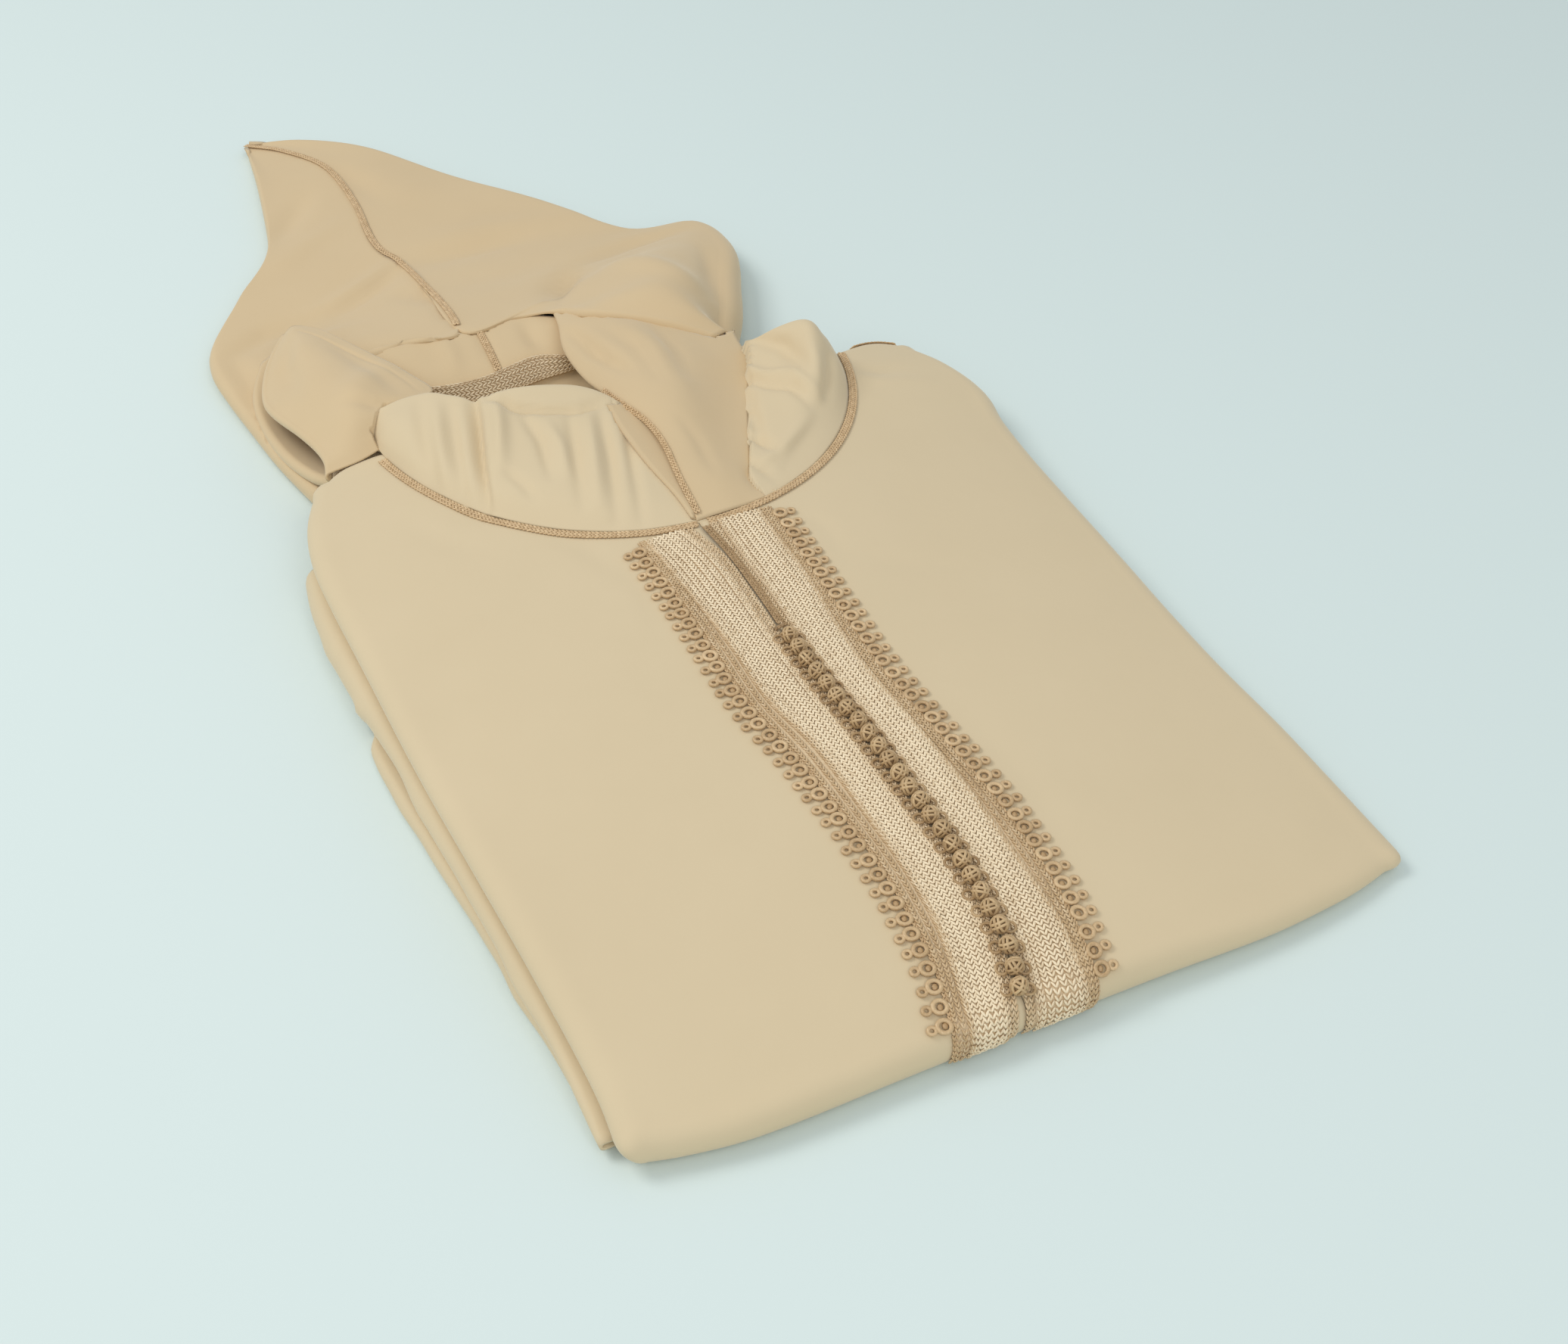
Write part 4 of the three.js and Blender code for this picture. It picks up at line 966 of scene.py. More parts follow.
@dataclass
class Hood:
    """The hood, laid out above the packet, and the throat pieces in the neck opening."""

    packet: Packet
    finishes: Finishes
    lip: float = 10.0
    ridge_radius: float = 1.8
    ridge_start: float = 5.3  # counted in rows of the crown, like the next
    lobe_start: float = 7.4
    lobe_radius: float = 3.4
    right: Rails = Rails(
        ("crown", "back", "edge"),
        (
            ((-110, 698, 5), (-108, 698, 5), (-106, 700, 3)),
            ((-89, 672, 9), (-81, 675, 9), (-72, 684, 5)),
            ((-70, 633, 12), (-52, 638, 12), (-33, 651, 6)),
            ((-66, 580, 13), (-30, 582, 14), (6, 590, 6)),
            ((-70, 517, 15), (-6, 520, 14), (51, 529, 7)),
            ((-60, 474, 17), (26, 470, 16), (90, 467, 8)),
            ((-61, 366, 37), (49, 412, 30), (131, 452, 11)),
            ((-24, 363, 38), (62, 384, 46), (137, 408, 14)),
            ((1, 348, 46), (62, 350, 54), (121, 362, 16)),
            ((12, 327, 54), (58, 327, 58), (110, 335, 16)),
            ((46, 304, 52), (68, 307, 51), (99, 315, 15)),
            ((74, 288, 43), (82, 292, 40), (91, 297, 13)),
        ),
    )
    left: Rails = Rails(
        ("crown", "back", "edge"),
        (
            ((-111, 697, 5), (-111, 694, 5), (-112, 690, 3)),
            ((-90, 671, 9), (-106, 645, 9), (-120, 626, 5)),
            ((-71, 632, 12), (-104, 580, 12), (-138, 540, 6)),
            ((-67, 579, 13), (-118, 530, 12), (-168, 496, 6)),
            ((-71, 516, 15), (-134, 481, 12), (-195, 453, 6)),
            ((-61, 473, 17), (-132, 440, 13), (-202, 425, 6)),
            ((-63, 366, 37), (-135, 398, 24), (-200, 392, 6)),
            ((-98, 367, 36), (-150, 366, 18), (-196, 360, 6)),
            ((-130, 360, 30), (-160, 330, 15), (-190, 318, 6)),
            ((-140, 286, 14), (-162, 282, 14), (-181, 274, 7)),
        ),
    )
    side: Rails = Rails(
        ("inner", "outer"),
        (
            ((-156, 420, 20), (-172, 412, 17)), ((-166, 388, 15), (-184, 382, 16)),
            ((-170, 357, 9), (-187, 352, 15)), ((-166, 322, 10), (-184, 316, 17)),
            ((-158, 290, 16), (-176, 285, 21)), ((-152, 270, 24), (-167, 264, 28)),
        ),
    )
    brim: Rails = Rails(
        ("ridge", "slope", "mouth", "braid", "inside", "floor", "end"),
        (
            (
                (-124, 369, 33), (-116, 350, 33), (-110, 333, 27), (-110, 332, 18),
                (-110, 322, 14), (-110, 300, 13), (-110, 278, 14),
            ),
            (
                (-102, 367, 36), (-100, 350, 35), (-98, 326, 30), (-97, 325, 19),
                (-96, 315, 14), (-96, 295, 13), (-96, 272, 14),
            ),
            (
                (-82, 366, 36.5), (-81, 346, 35), (-80, 321, 31), (-79, 317, 20),
                (-78, 308, 14), (-78, 290, 13), (-78, 270, 14),
            ),
            (
                (-62, 366, 36.5), (-61, 346, 36), (-62, 320, 32), (-61, 314, 20),
                (-60, 305, 14), (-60, 288, 13), (-60, 270, 14),
            ),
            (
                (-42, 365, 37), (-43, 346, 37), (-45, 322, 34), (-44, 316, 21),
                (-43, 306, 15), (-43, 288, 14), (-43, 270, 15),
            ),
            (
                (-22, 364, 37.5), (-24, 346, 38), (-28, 324, 35), (-27, 318, 22),
                (-26, 308, 16), (-26, 290, 15), (-26, 272, 15),
            ),
            (
                (-4, 353, 38), (-7, 340, 38), (-12, 319, 34), (-11, 317, 24),
                (-11, 308, 18), (-11, 292, 16), (-11, 275, 16),
            ),
            (
                (10, 345, 40), (6, 336, 39), (3, 321, 34), (3, 319, 25),
                (3, 309, 19), (3, 293, 17), (3, 276, 17),
            ),
        ),
    )
    cheek: Rails = Rails(
        ("outer", "middle", "hem"),
        (
            ((-156, 420, 27), (-151, 420, 31), (-145, 417, 32)),
            ((-166, 404, 27), (-153, 403, 36), (-136, 400, 36)),
            ((-176, 382, 27), (-153, 379, 42), (-124, 371, 39)),
            ((-183, 357, 28), (-151, 350, 47), (-113, 342, 42)),
            ((-183, 335, 32), (-148, 325, 51), (-104, 319, 44)),
            ((-176, 305, 37), (-145, 302, 53), (-99, 300, 45)),
            ((-171, 284, 38), (-148, 284, 50), (-114, 289, 50)),
            ((-170, 270, 38), (-152, 271, 43), (-128, 278, 46)),
            ((-172, 262, 34), (-154, 262, 37), (-134, 268, 40)),
        ),
    )
    facing: Rails = Rails(
        ("inner", "outer"),
        (
            ((-20, 226, 59), (2, 228, 53)), ((-21, 204, 58), (5, 204, 52)), ((-19, 172, 56), (5, 172, 51)),
            ((-14, 142, 52.5), (3, 142, 49)), ((-12, 124, 48.5), (0, 124, 48)),
        ),
    )

    def seam(self, degrees: float, rise: float = 0.3) -> Triple:
        """A point of the neck seam at an angle of its half ellipse."""
        angle = math.radians(degrees)
        p = self.packet
        x = p.neck_x + (p.neck_half_width - 0.6) * math.cos(angle)
        y = p.neck_y + (p.neck_depth - 0.6) * math.sin(angle)
        return x, y, p.height(x, y) + rise

    def throat_left(self) -> Rails:
        """Sections of the left throat piece, from the neck seam to its soft crest."""
        s = self.seam
        return Rails(
            ("seam", "low", "middle", "crest"),
            (
                (s(183), (-141, 277, 43), (-138, 282, 47), (-134, 287, 50)),
                (s(190), (-138, 262, 46), (-132, 272, 52), (-122, 285, 54)),
                (s(199), (-130, 241, 50), (-122, 258, 56), (-108, 279, 58)),
                (s(208), (-120, 220, 52), (-110, 240, 57), (-95, 266, 60)),
                (s(218), (-107, 199, 54), (-97, 222, 59), (-81, 256, 62)),
                (s(228), (-92, 180, 54), (-83, 206, 59), (-65, 253, 63)),
                (s(238), (-73, 165, 54), (-66, 193, 59), (-48, 250, 63)),
                (s(248), (-53, 153, 54), (-48, 183, 58), (-31, 243, 62)),
                (s(257), (-34, 146, 53), (-31, 172, 56), (-19, 232, 60)),
                (s(266.5), (-13, 138, 50), (-14, 160, 53), (-10, 223, 57)),
                (s(270.5), (-2, 136, 48), (0, 160, 50), (4, 220, 52)),
            ),
        )

    def throat_right(self) -> Rails:
        """Sections of the strip that falls from the hood down the right of the slit."""
        s = self.seam
        return Rails(
            ("under_left", "left", "ridge", "right", "under_right"),
            (
                ((-4, 366, 34), (0, 372, 37), (30, 352, 41), (66, 322, 40), (88, 312, 38)),
                ((-4, 342, 36), (-8, 335, 46), (22, 324, 50), (64, 298, 44), (86, 298, 40)),
                ((-7, 318, 38), (-15, 310, 47), (18, 301, 56), (65, 278, 45), (84, 282, 40)),
                ((-8, 290, 40), (-17, 290, 48), (18, 273, 60), (65, 258, 45), (81, 262, 41)),
                ((-8, 262, 43), (-16, 264, 50), (16, 246, 62), (56, 234, 46), (71, 238, 42)),
                ((-3, 232, 46), (-11, 232, 55), (14, 216, 62), (46, 212, 48), (59, 212, 44)),
                ((2, 204, 48), (-5, 206, 57), (12, 192, 60), (37, 190, 49), (49, 188, 45)),
                ((2, 180, 48), (-4, 180, 57), (11, 170, 57), (29, 168, 50), (40, 166, 46)),
                ((0, 150, 47), (-7, 150, 54), (9, 146, 54), (24, 145, 50), (31, 144, 46)),
                (s(267), s(268.2, 1.0), s(275, 1.6), s(281, 0.6), s(285)),
            ),
        )

    def neck_right(self) -> Rails:
        """Sections of the right neck piece, from below the strip to the neck seam."""
        s = self.seam
        return Rails(
            ("under", "inner", "fold", "ridge", "outer", "seam"),
            (
                ((50, 306, 22), (68, 298, 20), (84, 284, 24), (110, 264, 38), (122, 254, 36), s(354)),
                ((48, 302, 34), (66, 291, 40), (80, 271, 46), (110, 252, 63), (122, 246, 53), s(351)),
                ((46, 294, 38), (68, 280, 44), (82, 261, 51), (109, 243, 67), (121, 240, 56), s(347)),
                ((44, 270, 42), (64, 258, 45), (82, 240, 51), (106, 226, 61), (120, 224, 52), s(338)),
                ((34, 240, 45), (54, 231, 47), (73, 212, 51), (95, 205, 56), (108, 204, 50), s(327)),
                ((24, 212, 46), (43, 206, 48), (61, 190, 50), (79, 184, 52), (90, 182, 48), s(315)),
                ((15, 174, 46), (31, 170, 49), (46, 166, 49), (59, 162, 49), (67, 158, 46), s(302)),
                ((11, 145, 45), (23, 141, 48), (30, 139, 48), (36, 137, 47), (40, 134, 46), s(289)),
                (s(274), s(277), s(280), s(283), s(286), s(288)),
            ),
        )

    def rolled(
        self, row: list[Vector], out: Vector, radius: float, degrees: float, lip: float
    ) -> list[Vector]:
        """Turns the end of a row of points over and back under.

        Args:
            row: Points of the row.
            out: Unit vector that points out of the piece.
            radius: Radius of the fold.
            degrees: How far it turns.
            lip: Length of the flat cloth turned under.

        Returns:
            The row with its fold.
        """
        start = row[-1]
        steps = round(degrees / 15)
        roll = []
        for k in range(1, steps + 1):
            angle = math.radians(degrees * k / steps)
            p = start + out * radius * math.sin(angle)
            p.z = start.z - radius * (1 - math.cos(angle))
            roll.append(p)
        last = math.radians(degrees)
        ahead = out * math.cos(last) - Vector((0, 0, math.sin(last)))
        end = [roll[-1] + ahead * lip * s for s in (0.5, 1.0)] if lip > 0 else []
        return row + roll + end

    def rimmed(self, grid: Grid, radius: float, degrees: float, lip: float, first: bool = False) -> Grid:
        """Rolls the last edge of every row over, or the first one.

        Args:
            grid: Rows of points.
            radius: Radius of the roll.
            degrees: How far it turns.
            lip: Length of cloth after the roll.
            first: Whether the first edge is rolled.

        Returns:
            The grid with its roll.
        """
        result = []
        for row in grid:
            line = row[::-1] if first else row
            out = line[-1] - line[-4]
            out.z = 0
            line = self.rolled(line, out.normalized(), radius, degrees, lip)
            result.append(line[::-1] if first else line)
        return result

    def half(self, rails: Rails, along: int = 96, across: int = 34) -> Grid:
        """Grid of a hood half: the woven top, then its edge rolled over and under to lie flat."""
        rows = []
        for crown, back, edge in rails.rows:
            out = Vector((edge[0] - back[0], edge[1] - back[1], 0)).normalized()
            rows.append((crown, back, (edge[0] - out.x * edge[2], edge[1] - out.y * edge[2], 2 * edge[2])))
        tops = Rails(("crown", "back", "rim"), tuple(rows)).weave(along, across)
        edges = curve_through([Vector(row[2]) for row in rails.rows], along)
        grid = []
        for i, (row, edge) in enumerate(zip(tops, edges)):
            rim = row[-1]
            out = edge - rim
            out.z = 0
            out.normalize()
            span = (row[0] - rim).length
            row = self.rolled(row, out, rim.z / 2, 180, min(self.lip, span * 0.4))
            back = row[0] - row[3]
            back.z = 0
            place = (len(rails.rows) - 1) * i / along
            radius = self.ridge_radius * soft((place - self.ridge_start) / 0.8)
            radius += self.lobe_radius * soft((place - self.lobe_start) / 0.9)
            grid.append(self.rolled(row[::-1], back.normalized(), radius, 90, 0)[::-1])
        return grid

    def side_roll(self, radius: float = 4.0) -> Grid:
        """Grid of the rolled fold that lies on the hood's left edge."""
        grid = []
        for row in self.side.weave(50, 14):
            out = row[-1] - row[0]
            out.z = 0
            grid.append(self.rolled(row, out.normalized(), radius, 150, 0))
        return grid

    def build(self) -> list[ClothSheet]:
        """Builds the sheets, from the piece that lies on top to the ones below."""
        crepe, hood = self.finishes.crepe, self.finishes.hood
        left_crest = self.rimmed(self.throat_left().weave(110, 60), 5.0, 120, 14)
        cheek = self.rimmed(self.cheek.weave(90, 60), 3.0, 130, 3, first=True)
        strip, facing = self.throat_right().weave(90, 40), self.facing.weave(40, 8)
        neck = self.neck_right().weave(80, 50)
        layers, back, crest = ("folded_layers",), ("hood_back_left_cloth",), ("throat_left_cloth",)
        plan = (
            ("hood_back_right", self.half(self.right), hood, (0.17, 0.36), HOOD_RIGHT_CREASES, (), 0.9),
            ("throat_right", strip, hood, (0.11, 0.26), STRIP_CREASES, layers, 0.6),
            ("throat_facing_left", facing, hood, (0.027, 0.105), (), crest, 0.2),
            ("throat_left", left_crest, crepe, (0.15, 0.13), THROAT_CREASES, layers, 0.6),
            ("neck_right", neck, crepe, (0.10, 0.20), NECK_CREASES, layers, 0.5),
            ("hood_cheek_left", cheek, hood, (0.09, 0.17), CHEEK_CREASES, back, 0.7),
            ("hood_side_fold", self.side_roll(), hood, (0.028, 0.17), (), back, 0.4),
            ("hood_back_left", self.half(self.left), hood, (0.13, 0.36), HOOD_LEFT_CREASES, (), 0.9),
            ("hood_brim", self.brim.weave(80, 60), hood, (0.10, 0.13), BRIM_CREASES, layers, 0.3),
        )
        sheets = []
        for name, grid, finish, flat, creases, rests, rise in plan:
            uneven = Rumple(80.0, 30.0, rise, rise * 0.3, 2.0)
            sheets.append(ClothSheet(name, grid, finish, flat, creases, uneven, rests_on=rests))
        return sheets


# ------------------------------------------------------------------ stitches, plaits and loops
class Bead:
    """A small closed form, modelled once with bmesh operators and then laid down many times."""

    def __init__(self, bm: bmesh.types.BMesh) -> None:
        """Keeps the form's points and faces and frees the bmesh."""
        bm.verts.ensure_lookup_table()
        bm.verts.index_update()
        self.points = np.array([v.co[:] for v in bm.verts])
        self.faces = [[v.index for v in f.verts] for f in bm.faces]
        bm.free()

    @classmethod
    def stitch(cls) -> "Bead":
        """A plump grain of thread, one unit wide, long and high."""
        bm = bmesh.new()
        bmesh.ops.create_uvsphere(bm, u_segments=6, v_segments=4, radius=0.5)
        bmesh.ops.rotate(bm, verts=bm.verts, cent=(0, 0, 0), matrix=Matrix.Rotation(math.pi / 2, 3, "X"))
        bmesh.ops.recalc_face_normals(bm, faces=bm.faces)
        return cls(bm)

    @classmethod
    def ring(cls, radius: float, thick: float, sides: int = 6, around: int = 14) -> "Bead":
        """A ring of cord, spun from a circle."""
        bm = bmesh.new()
        made = bmesh.ops.create_circle(bm, segments=sides, radius=thick / 2)["verts"]
        bmesh.ops.rotate(bm, verts=made, cent=(0, 0, 0), matrix=Matrix.Rotation(math.pi / 2, 3, "X"))
        bmesh.ops.translate(bm, verts=made, vec=(radius, 0, 0))
        bmesh.ops.spin(
            bm, geom=bm.verts[:] + bm.edges[:], cent=(0, 0, 0), axis=(0, 0, 1), dvec=(0, 0, 0),
            angle=2 * math.pi, steps=around, use_merge=True, use_normal_flip=False, use_duplicate=False,
        )
        bmesh.ops.remove_doubles(bm, verts=bm.verts, dist=1e-5)
        bmesh.ops.recalc_face_normals(bm, faces=bm.faces)
        return cls(bm)


class ThreadWork:
    """Gathers stitches, rings and strips into one mesh with a tone at every point."""

    def __init__(
        self, name: str, material: bpy.types.Material, slot: Slot, seed: int, in_record: bool = True
    ) -> None:
        """Starts an empty piece.

        Args:
            name: Name of the finished object, and of the CAD node that it stands for.
            material: Its material.
            slot: The record's material slot; not used.
            seed: Seed of the small unevenness of the threads.
            in_record: Whether there is a CAD node of that name.
        """
        self.name, self.material, self.slot, self.in_record = name, material, slot, in_record
        self.seed, self.count, self.total = seed, 0, 0
        self.grain = Bead.stitch()
        self.rings: dict[tuple[float, float, int, int], Bead] = {}
        self.points: list[np.ndarray] = []
        self.faces: list[list[int]] = []
        self.tones: list[np.ndarray] = []

    def uneven(self, share: float) -> float:
        """A small repeatable offset, up to the share either way."""
        self.count += 1
        return share * noise.noise(Vector((self.count * 0.731, self.seed * 3.17, 0.4)))

    def lay(self, bead: Bead, matrix: Matrix, tone: float) -> None:
        """Lays a copy of a small form at a place given in millimetres."""
        turn = np.array(matrix)
        placed = (bead.points @ turn[:3, :3].T + turn[:3, 3]) * MM
        self.points.append(placed)
        self.tones.append(np.full(len(placed), tone))
        self.faces.extend([[self.total + k for k in face] for face in bead.faces])
        self.total += len(placed)

    def stitch(
        self, station: Station, across: float, rise: float, size: Triple, turn: float, tone: float
    ) -> None:
        """One plump stitch: width, length and height in millimetres."""
        self.lay(self.grain, station.matrix(across, rise, turn) @ Matrix.Diagonal((*size, 1.0)), tone)

    def loop(
        self, matrix: Matrix, radius: float, thick: float, tone: float, sides: int = 6, around: int = 14
    ) -> None:
        """A ring of cord."""
        key = (radius, thick, sides, around)
        if key not in self.rings:
            self.rings[key] = Bead.ring(*key)
        self.lay(self.rings[key], matrix, tone)

    def chain(
        self, path: Path, across: float, width: float, pitch: float, thick: float, rise: float, tone: float
    ) -> None:
        """A column of V-shaped stitches along a path.

        Args:
            path: The path.
            across: Where the column's middle is, to the side of the path.
            width: Width of the column.
            pitch: Length of one V along the path.
            thick: Thickness of a thread.
            rise: Height of the threads' middle over the surface.
            tone: Shade of the threads.
        """
        run, arm, reach = pitch / 2, width / 2, pitch * 1.1
        long = math.hypot(arm, reach)
        while run < path.length:
            station = path.at(run)
            for side in (-1, 1):
                turn = side * math.atan2(arm * 0.9, reach)
                size = (thick * (1 + self.uneven(0.15)), long * 1.18, thick * 0.8)
                self.stitch(station, across + side * arm / 2, rise, size, turn, tone + self.uneven(0.22))
            run += pitch * (1 + self.uneven(0.06))

    def strip(self, rows: Grid, thick: float, tone: float) -> None:
        """A closed strip of backing under the stitches, from rows of points of its upper face."""
        bm = grid_form(rows)
        turn_up(bm)
        bmesh.ops.solidify(bm, geom=bm.faces, thickness=thick)
        bmesh.ops.recalc_face_normals(bm, faces=bm.faces)
        self.lay(Bead(bm), Matrix.Identity(4), tone)

    def finish(self) -> bpy.types.Object:
        """Joins the copies and makes an object that stands for its CAD node."""
        label = f"{self.name}_silk"
        mesh = bpy.data.meshes.new(label)
        mesh.from_pydata(np.concatenate(self.points).tolist(), [], self.faces)
        mesh.attributes.new("tone", "FLOAT", "POINT").data.foreach_set("value", np.concatenate(self.tones))
        mesh.shade_smooth()
        obj = put(label, mesh, self.material)
        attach(obj, BODY)
        if self.in_record:
            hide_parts(self.name)
        LOG.info("%s: %d faces", self.name, len(self.faces))
        return obj


@dataclass
class Placket:
    """The woven bands, their looped edging and the line of ball knots, in millimetres."""

    packet: Packet
    finishes: Finishes
    top: float = 118.0
    end: float = -243.0
    edging_end: float = -228.0
    pitch: float = 2.5
    backing: float = 0.8
    backing_rise: float = 1.1
    cord_top: float = 116.0
    cord_end: float = 24.0
    picot_pitch: float = 9.0
    knot_pitch: float = 9.7
    knots: int = 25
    knot_first: float = 15.0
    knot_size: float = 10.4
    knot_cord: float = 1.45
    left_band: Table = Table(
        ("y", "outer", "plait", "inner"),
        (
            (118, -44, -41, -19), (90, -43, -38, -12), (50, -42, -35, -11), (20, -42, -33, -11),
            (-20, -41, -32, -9), (-60, -35, -24, -6), (-110, -30, -21, -3), (-145, -28, -19, 0),
            (-175, -29, -20, 0), (-200, -31, -24, -3), (-225, -36, -28, -9), (-260, -42, -33, -14),
        ),
    )
    right_band: Table = Table(
        ("y", "outer", "plait", "inner"),
        (
            (118, 30, 24, 0), (90, 29, 24, 0), (50, 28, 24, 1), (20, 28, 22, 1), (-20, 28, 22, 4),
            (-60, 32, 26, 8), (-110, 38, 30, 10), (-145, 40, 31, 12), (-175, 40, 32, 11),
            (-200, 38, 32, 9), (-225, 35, 30, 4), (-260, 31, 26, -1),
        ),
    )
    # share of the way across, width of the column, thread, lightness beside the silk's
    plait_chains: tuple[tuple[float, float, float, float], ...] = (
        (0.04, 2.2, 1.15, -0.2), (0.13, 2.3, 1.2, -0.05), (0.27, 3.4, 1.35, 0.0), (0.42, 3.6, 1.4, 0.06),
        (0.58, 3.6, 1.4, 0.08), (0.73, 3.4, 1.35, 0.0), (0.86, 2.3, 1.2, -0.05), (0.955, 2.2, 1.1, -0.2),
    )
    edge_chains: tuple[Triple, ...] = ((0.1, 2.4, 1.25), (0.5, 2.4, 1.2), (0.9, 2.2, 1.2))
    # distance from the band, radius, cord, rise
    picots: tuple[tuple[float, float, float, float], ...] = ((3.9, 3.0, 2.2, 1.4), (10.0, 1.75, 1.8, 1.3))

    def column(self, share: Callable[[float], float]) -> Path:
        """Path down a band, at the place across it that a function gives for each distance."""
        return Path.through(self.packet.line_down(share, self.top, self.end))

    def across(
        self, side: Side, edge: str, shift: float = 0.0, other: str = "", mix: float = 0.0
    ) -> Callable[[float], float]:
        """Place across the front that follows a band's edge, or lies between two of its edges.

        Args:
            side: Which band.
            edge: Column of the band's table.
            shift: Distance outwards from there.
            other: A second column, if the place lies between two.
            mix: Share of the way to the second column.

        Returns:
            Function from the place along the garment to the place across it.
        """
        table = self.left_band if side is Side.LEFT else self.right_band

        def place(q: float) -> float:
            """Place at a distance along the garment."""
            x = table.read(q, edge)
            if other:
                x += (table.read(q, other) - x) * mix
            return x + side.sign * shift

        return place

    def band(self, side: Side) -> bpy.types.Object:
        """One woven band: backing, tan edging cords, chain rows and the herringbone plait."""
        seed = 2 if side is Side.LEFT else 5
        work = ThreadWork(f"band_{side.value}", self.finishes.trim, Slot.TRIM, seed)
        lines = []
        for k in range(9):
            share = self.across(side, "inner", 0, "outer", k / 8)
            stations = self.packet.line_down(share, self.top, self.end)
            lines.append([s.p + s.up * self.backing_rise for s in stations])
        work.strip([list(row) for row in zip(*lines)], self.backing, Tone.TAN.value + 0.25)
        edge = Tone.TAN.value + 0.08
        for mix, width, thick in self.edge_chains:
            path = self.column(self.across(side, "outer", -0.6, "plait", mix))
            work.chain(path, 0.0, width, 2.4, thick, 1.6, edge)
        for mix, width, thick, lighter in self.plait_chains:
            path = self.column(self.across(side, "inner", 0.3, "plait", mix))
            work.chain(path, 0.0, width, self.pitch, thick, 1.9, Tone.SILK.value + lighter)
        for shift in (1.3, 3.5):
            path = self.column(self.across(side, "inner", -shift))
            work.chain(path, 0.0, 2.2, self.pitch, 1.15, 0.9, edge + 0.1)
        return work.finish()

    def edging(self, side: Side) -> bpy.types.Object:
        """The looped edging of one band: a ring of cord and a smaller end loop, again and again."""
        seed = 8 if side is Side.LEFT else 11
        work = ThreadWork(f"picots_{side.value}", self.finishes.edging, Slot.TRIM, seed)
        front, sign = self.packet.on_front, side.sign
        squash = Matrix.Diagonal((1.08, 1.0, 0.9, 1.0))
        tone = Tone.GOLD.value + 0.08
        q = self.top - 8
        while q > self.edging_end:
            base = self.across(side, "outer")(q)
            for out, radius, thick, rise in self.picots:
                shift = work.uneven(0.9)
                station = front(base + sign * (out + work.uneven(0.5)), q + shift)
                place = station.matrix(0, rise, work.uneven(1.2)) @ squash
                work.loop(place, radius, thick, tone + work.uneven(0.2))
            work.stitch(front(base + sign * 7.6, q), 0, 1.2, (3.4, 2.2, 1.7), 0.0, tone)
            work.stitch(front(base + sign * 3.6, q), 0, 0.9, (3.2, 3.6, 1.2), 0.4, tone - 0.2)
            q -= self.picot_pitch * (1 + work.uneven(0.12))
        path = self.column(self.across(side, "outer", 0.5))
        work.chain(path, 0.0, 1.8, 2.2, 1.1, 1.0, tone - 0.05)
        return work.finish()

    def knot_place(self, index: int) -> tuple[float, float]:
        """Where a knot sits across and along the garment."""
        q = self.knot_first - index * self.knot_pitch
        return self.packet.knot_line.read(q, "x"), q

    def knot(self, index: int) -> bpy.types.Object:
        """A ball knot: a core wrapped by interlaced rings of cord; the core's near-black tone is painted
        shade between the rings.
        """
        work = ThreadWork(f"knot_{index + 1:02d}", self.finishes.knot, Slot.KNOT, 20 + index)
        x, q = self.knot_place(index)
        station = self.packet.on_front(x + work.uneven(0.6), q)
        size = self.knot_size
        core = (size * 0.72, size * 0.72, size * 0.66)
        # the core is toned near-black brown as painted shade in the gaps between the rings
        work.stitch(station, 0, size * 0.42, core, 0, Tone.BROWN.value)
        turn = work.uneven(3.0)
        lean = Matrix.Rotation(math.radians(58), 4, "X")
        for k in range(3):
            tilt = Matrix.Rotation(turn + k * 2 * math.pi / 3, 4, "Z") @ lean
            for spread in (-0.9, 0.9):
                place = station.matrix(0, size * 0.44) @ tilt @ Matrix.Translation((0, 0, spread))
                shade = Tone.GOLD.value + 0.18 + work.uneven(0.3)
                work.loop(place, size * 0.36, self.knot_cord, shade, 6, 16)
        return work.finish()

    def cord_beside_slit(self) -> bpy.types.Object:
        """The brown double cord of the slit above the knots, and the bar that ends it."""
        work = ThreadWork("placket_cord", self.finishes.knot, Slot.KNOT, 17)
        for shift in (-1.1, 1.1):

            def beside(q: float) -> float:
                """Place of this cord across the garment."""
                return self.packet.knot_line.read(q, "x") + 1.6 + shift

            stations = self.packet.line_down(beside, self.cord_top, self.cord_end)
            work.chain(Path.through(stations), 0.0, 1.9, 2.2, 1.2, 1.3, Tone.TAN.value + 0.1)
        bar = [self.packet.on_front(x, self.cord_end + 0.25 * (x + 9)) for x in (-9, -6.5, -4, -1.5)]
        work.chain(Path.through(bar), 0.0, 1.8, 2.0, 1.4, 2.2, Tone.TAN.value)
        return work.finish()

    def loops(self) -> bpy.types.Object:
        """The small loops of cord that hold each knot from both sides."""
        work = ThreadWork("knot_loops", self.finishes.knot, Slot.KNOT, 31, in_record=False)
        for index in range(self.knots):
            x, q = self.knot_place(index)
            for side in (-1, 1):
                station = self.packet.on_front(x + side * 4.9, q - 1.5 * side)
                shade = Tone.TAN.value + 0.15 + work.uneven(0.3)
                work.loop(station.matrix(0, 2.1, work.uneven(1.0)), 2.8, 1.5, shade, 5, 12)
        return work.finish()

    def build(self) -> None:
        """Builds every piece of the placket."""
        for side in Side:
            self.band(side)
            self.edging(side)
        self.cord_beside_slit()
        self.loops()
        for index in range(self.knots):
            self.knot(index)
        LOG.info("placket: two bands, their edging, the slit's cord and the knots")


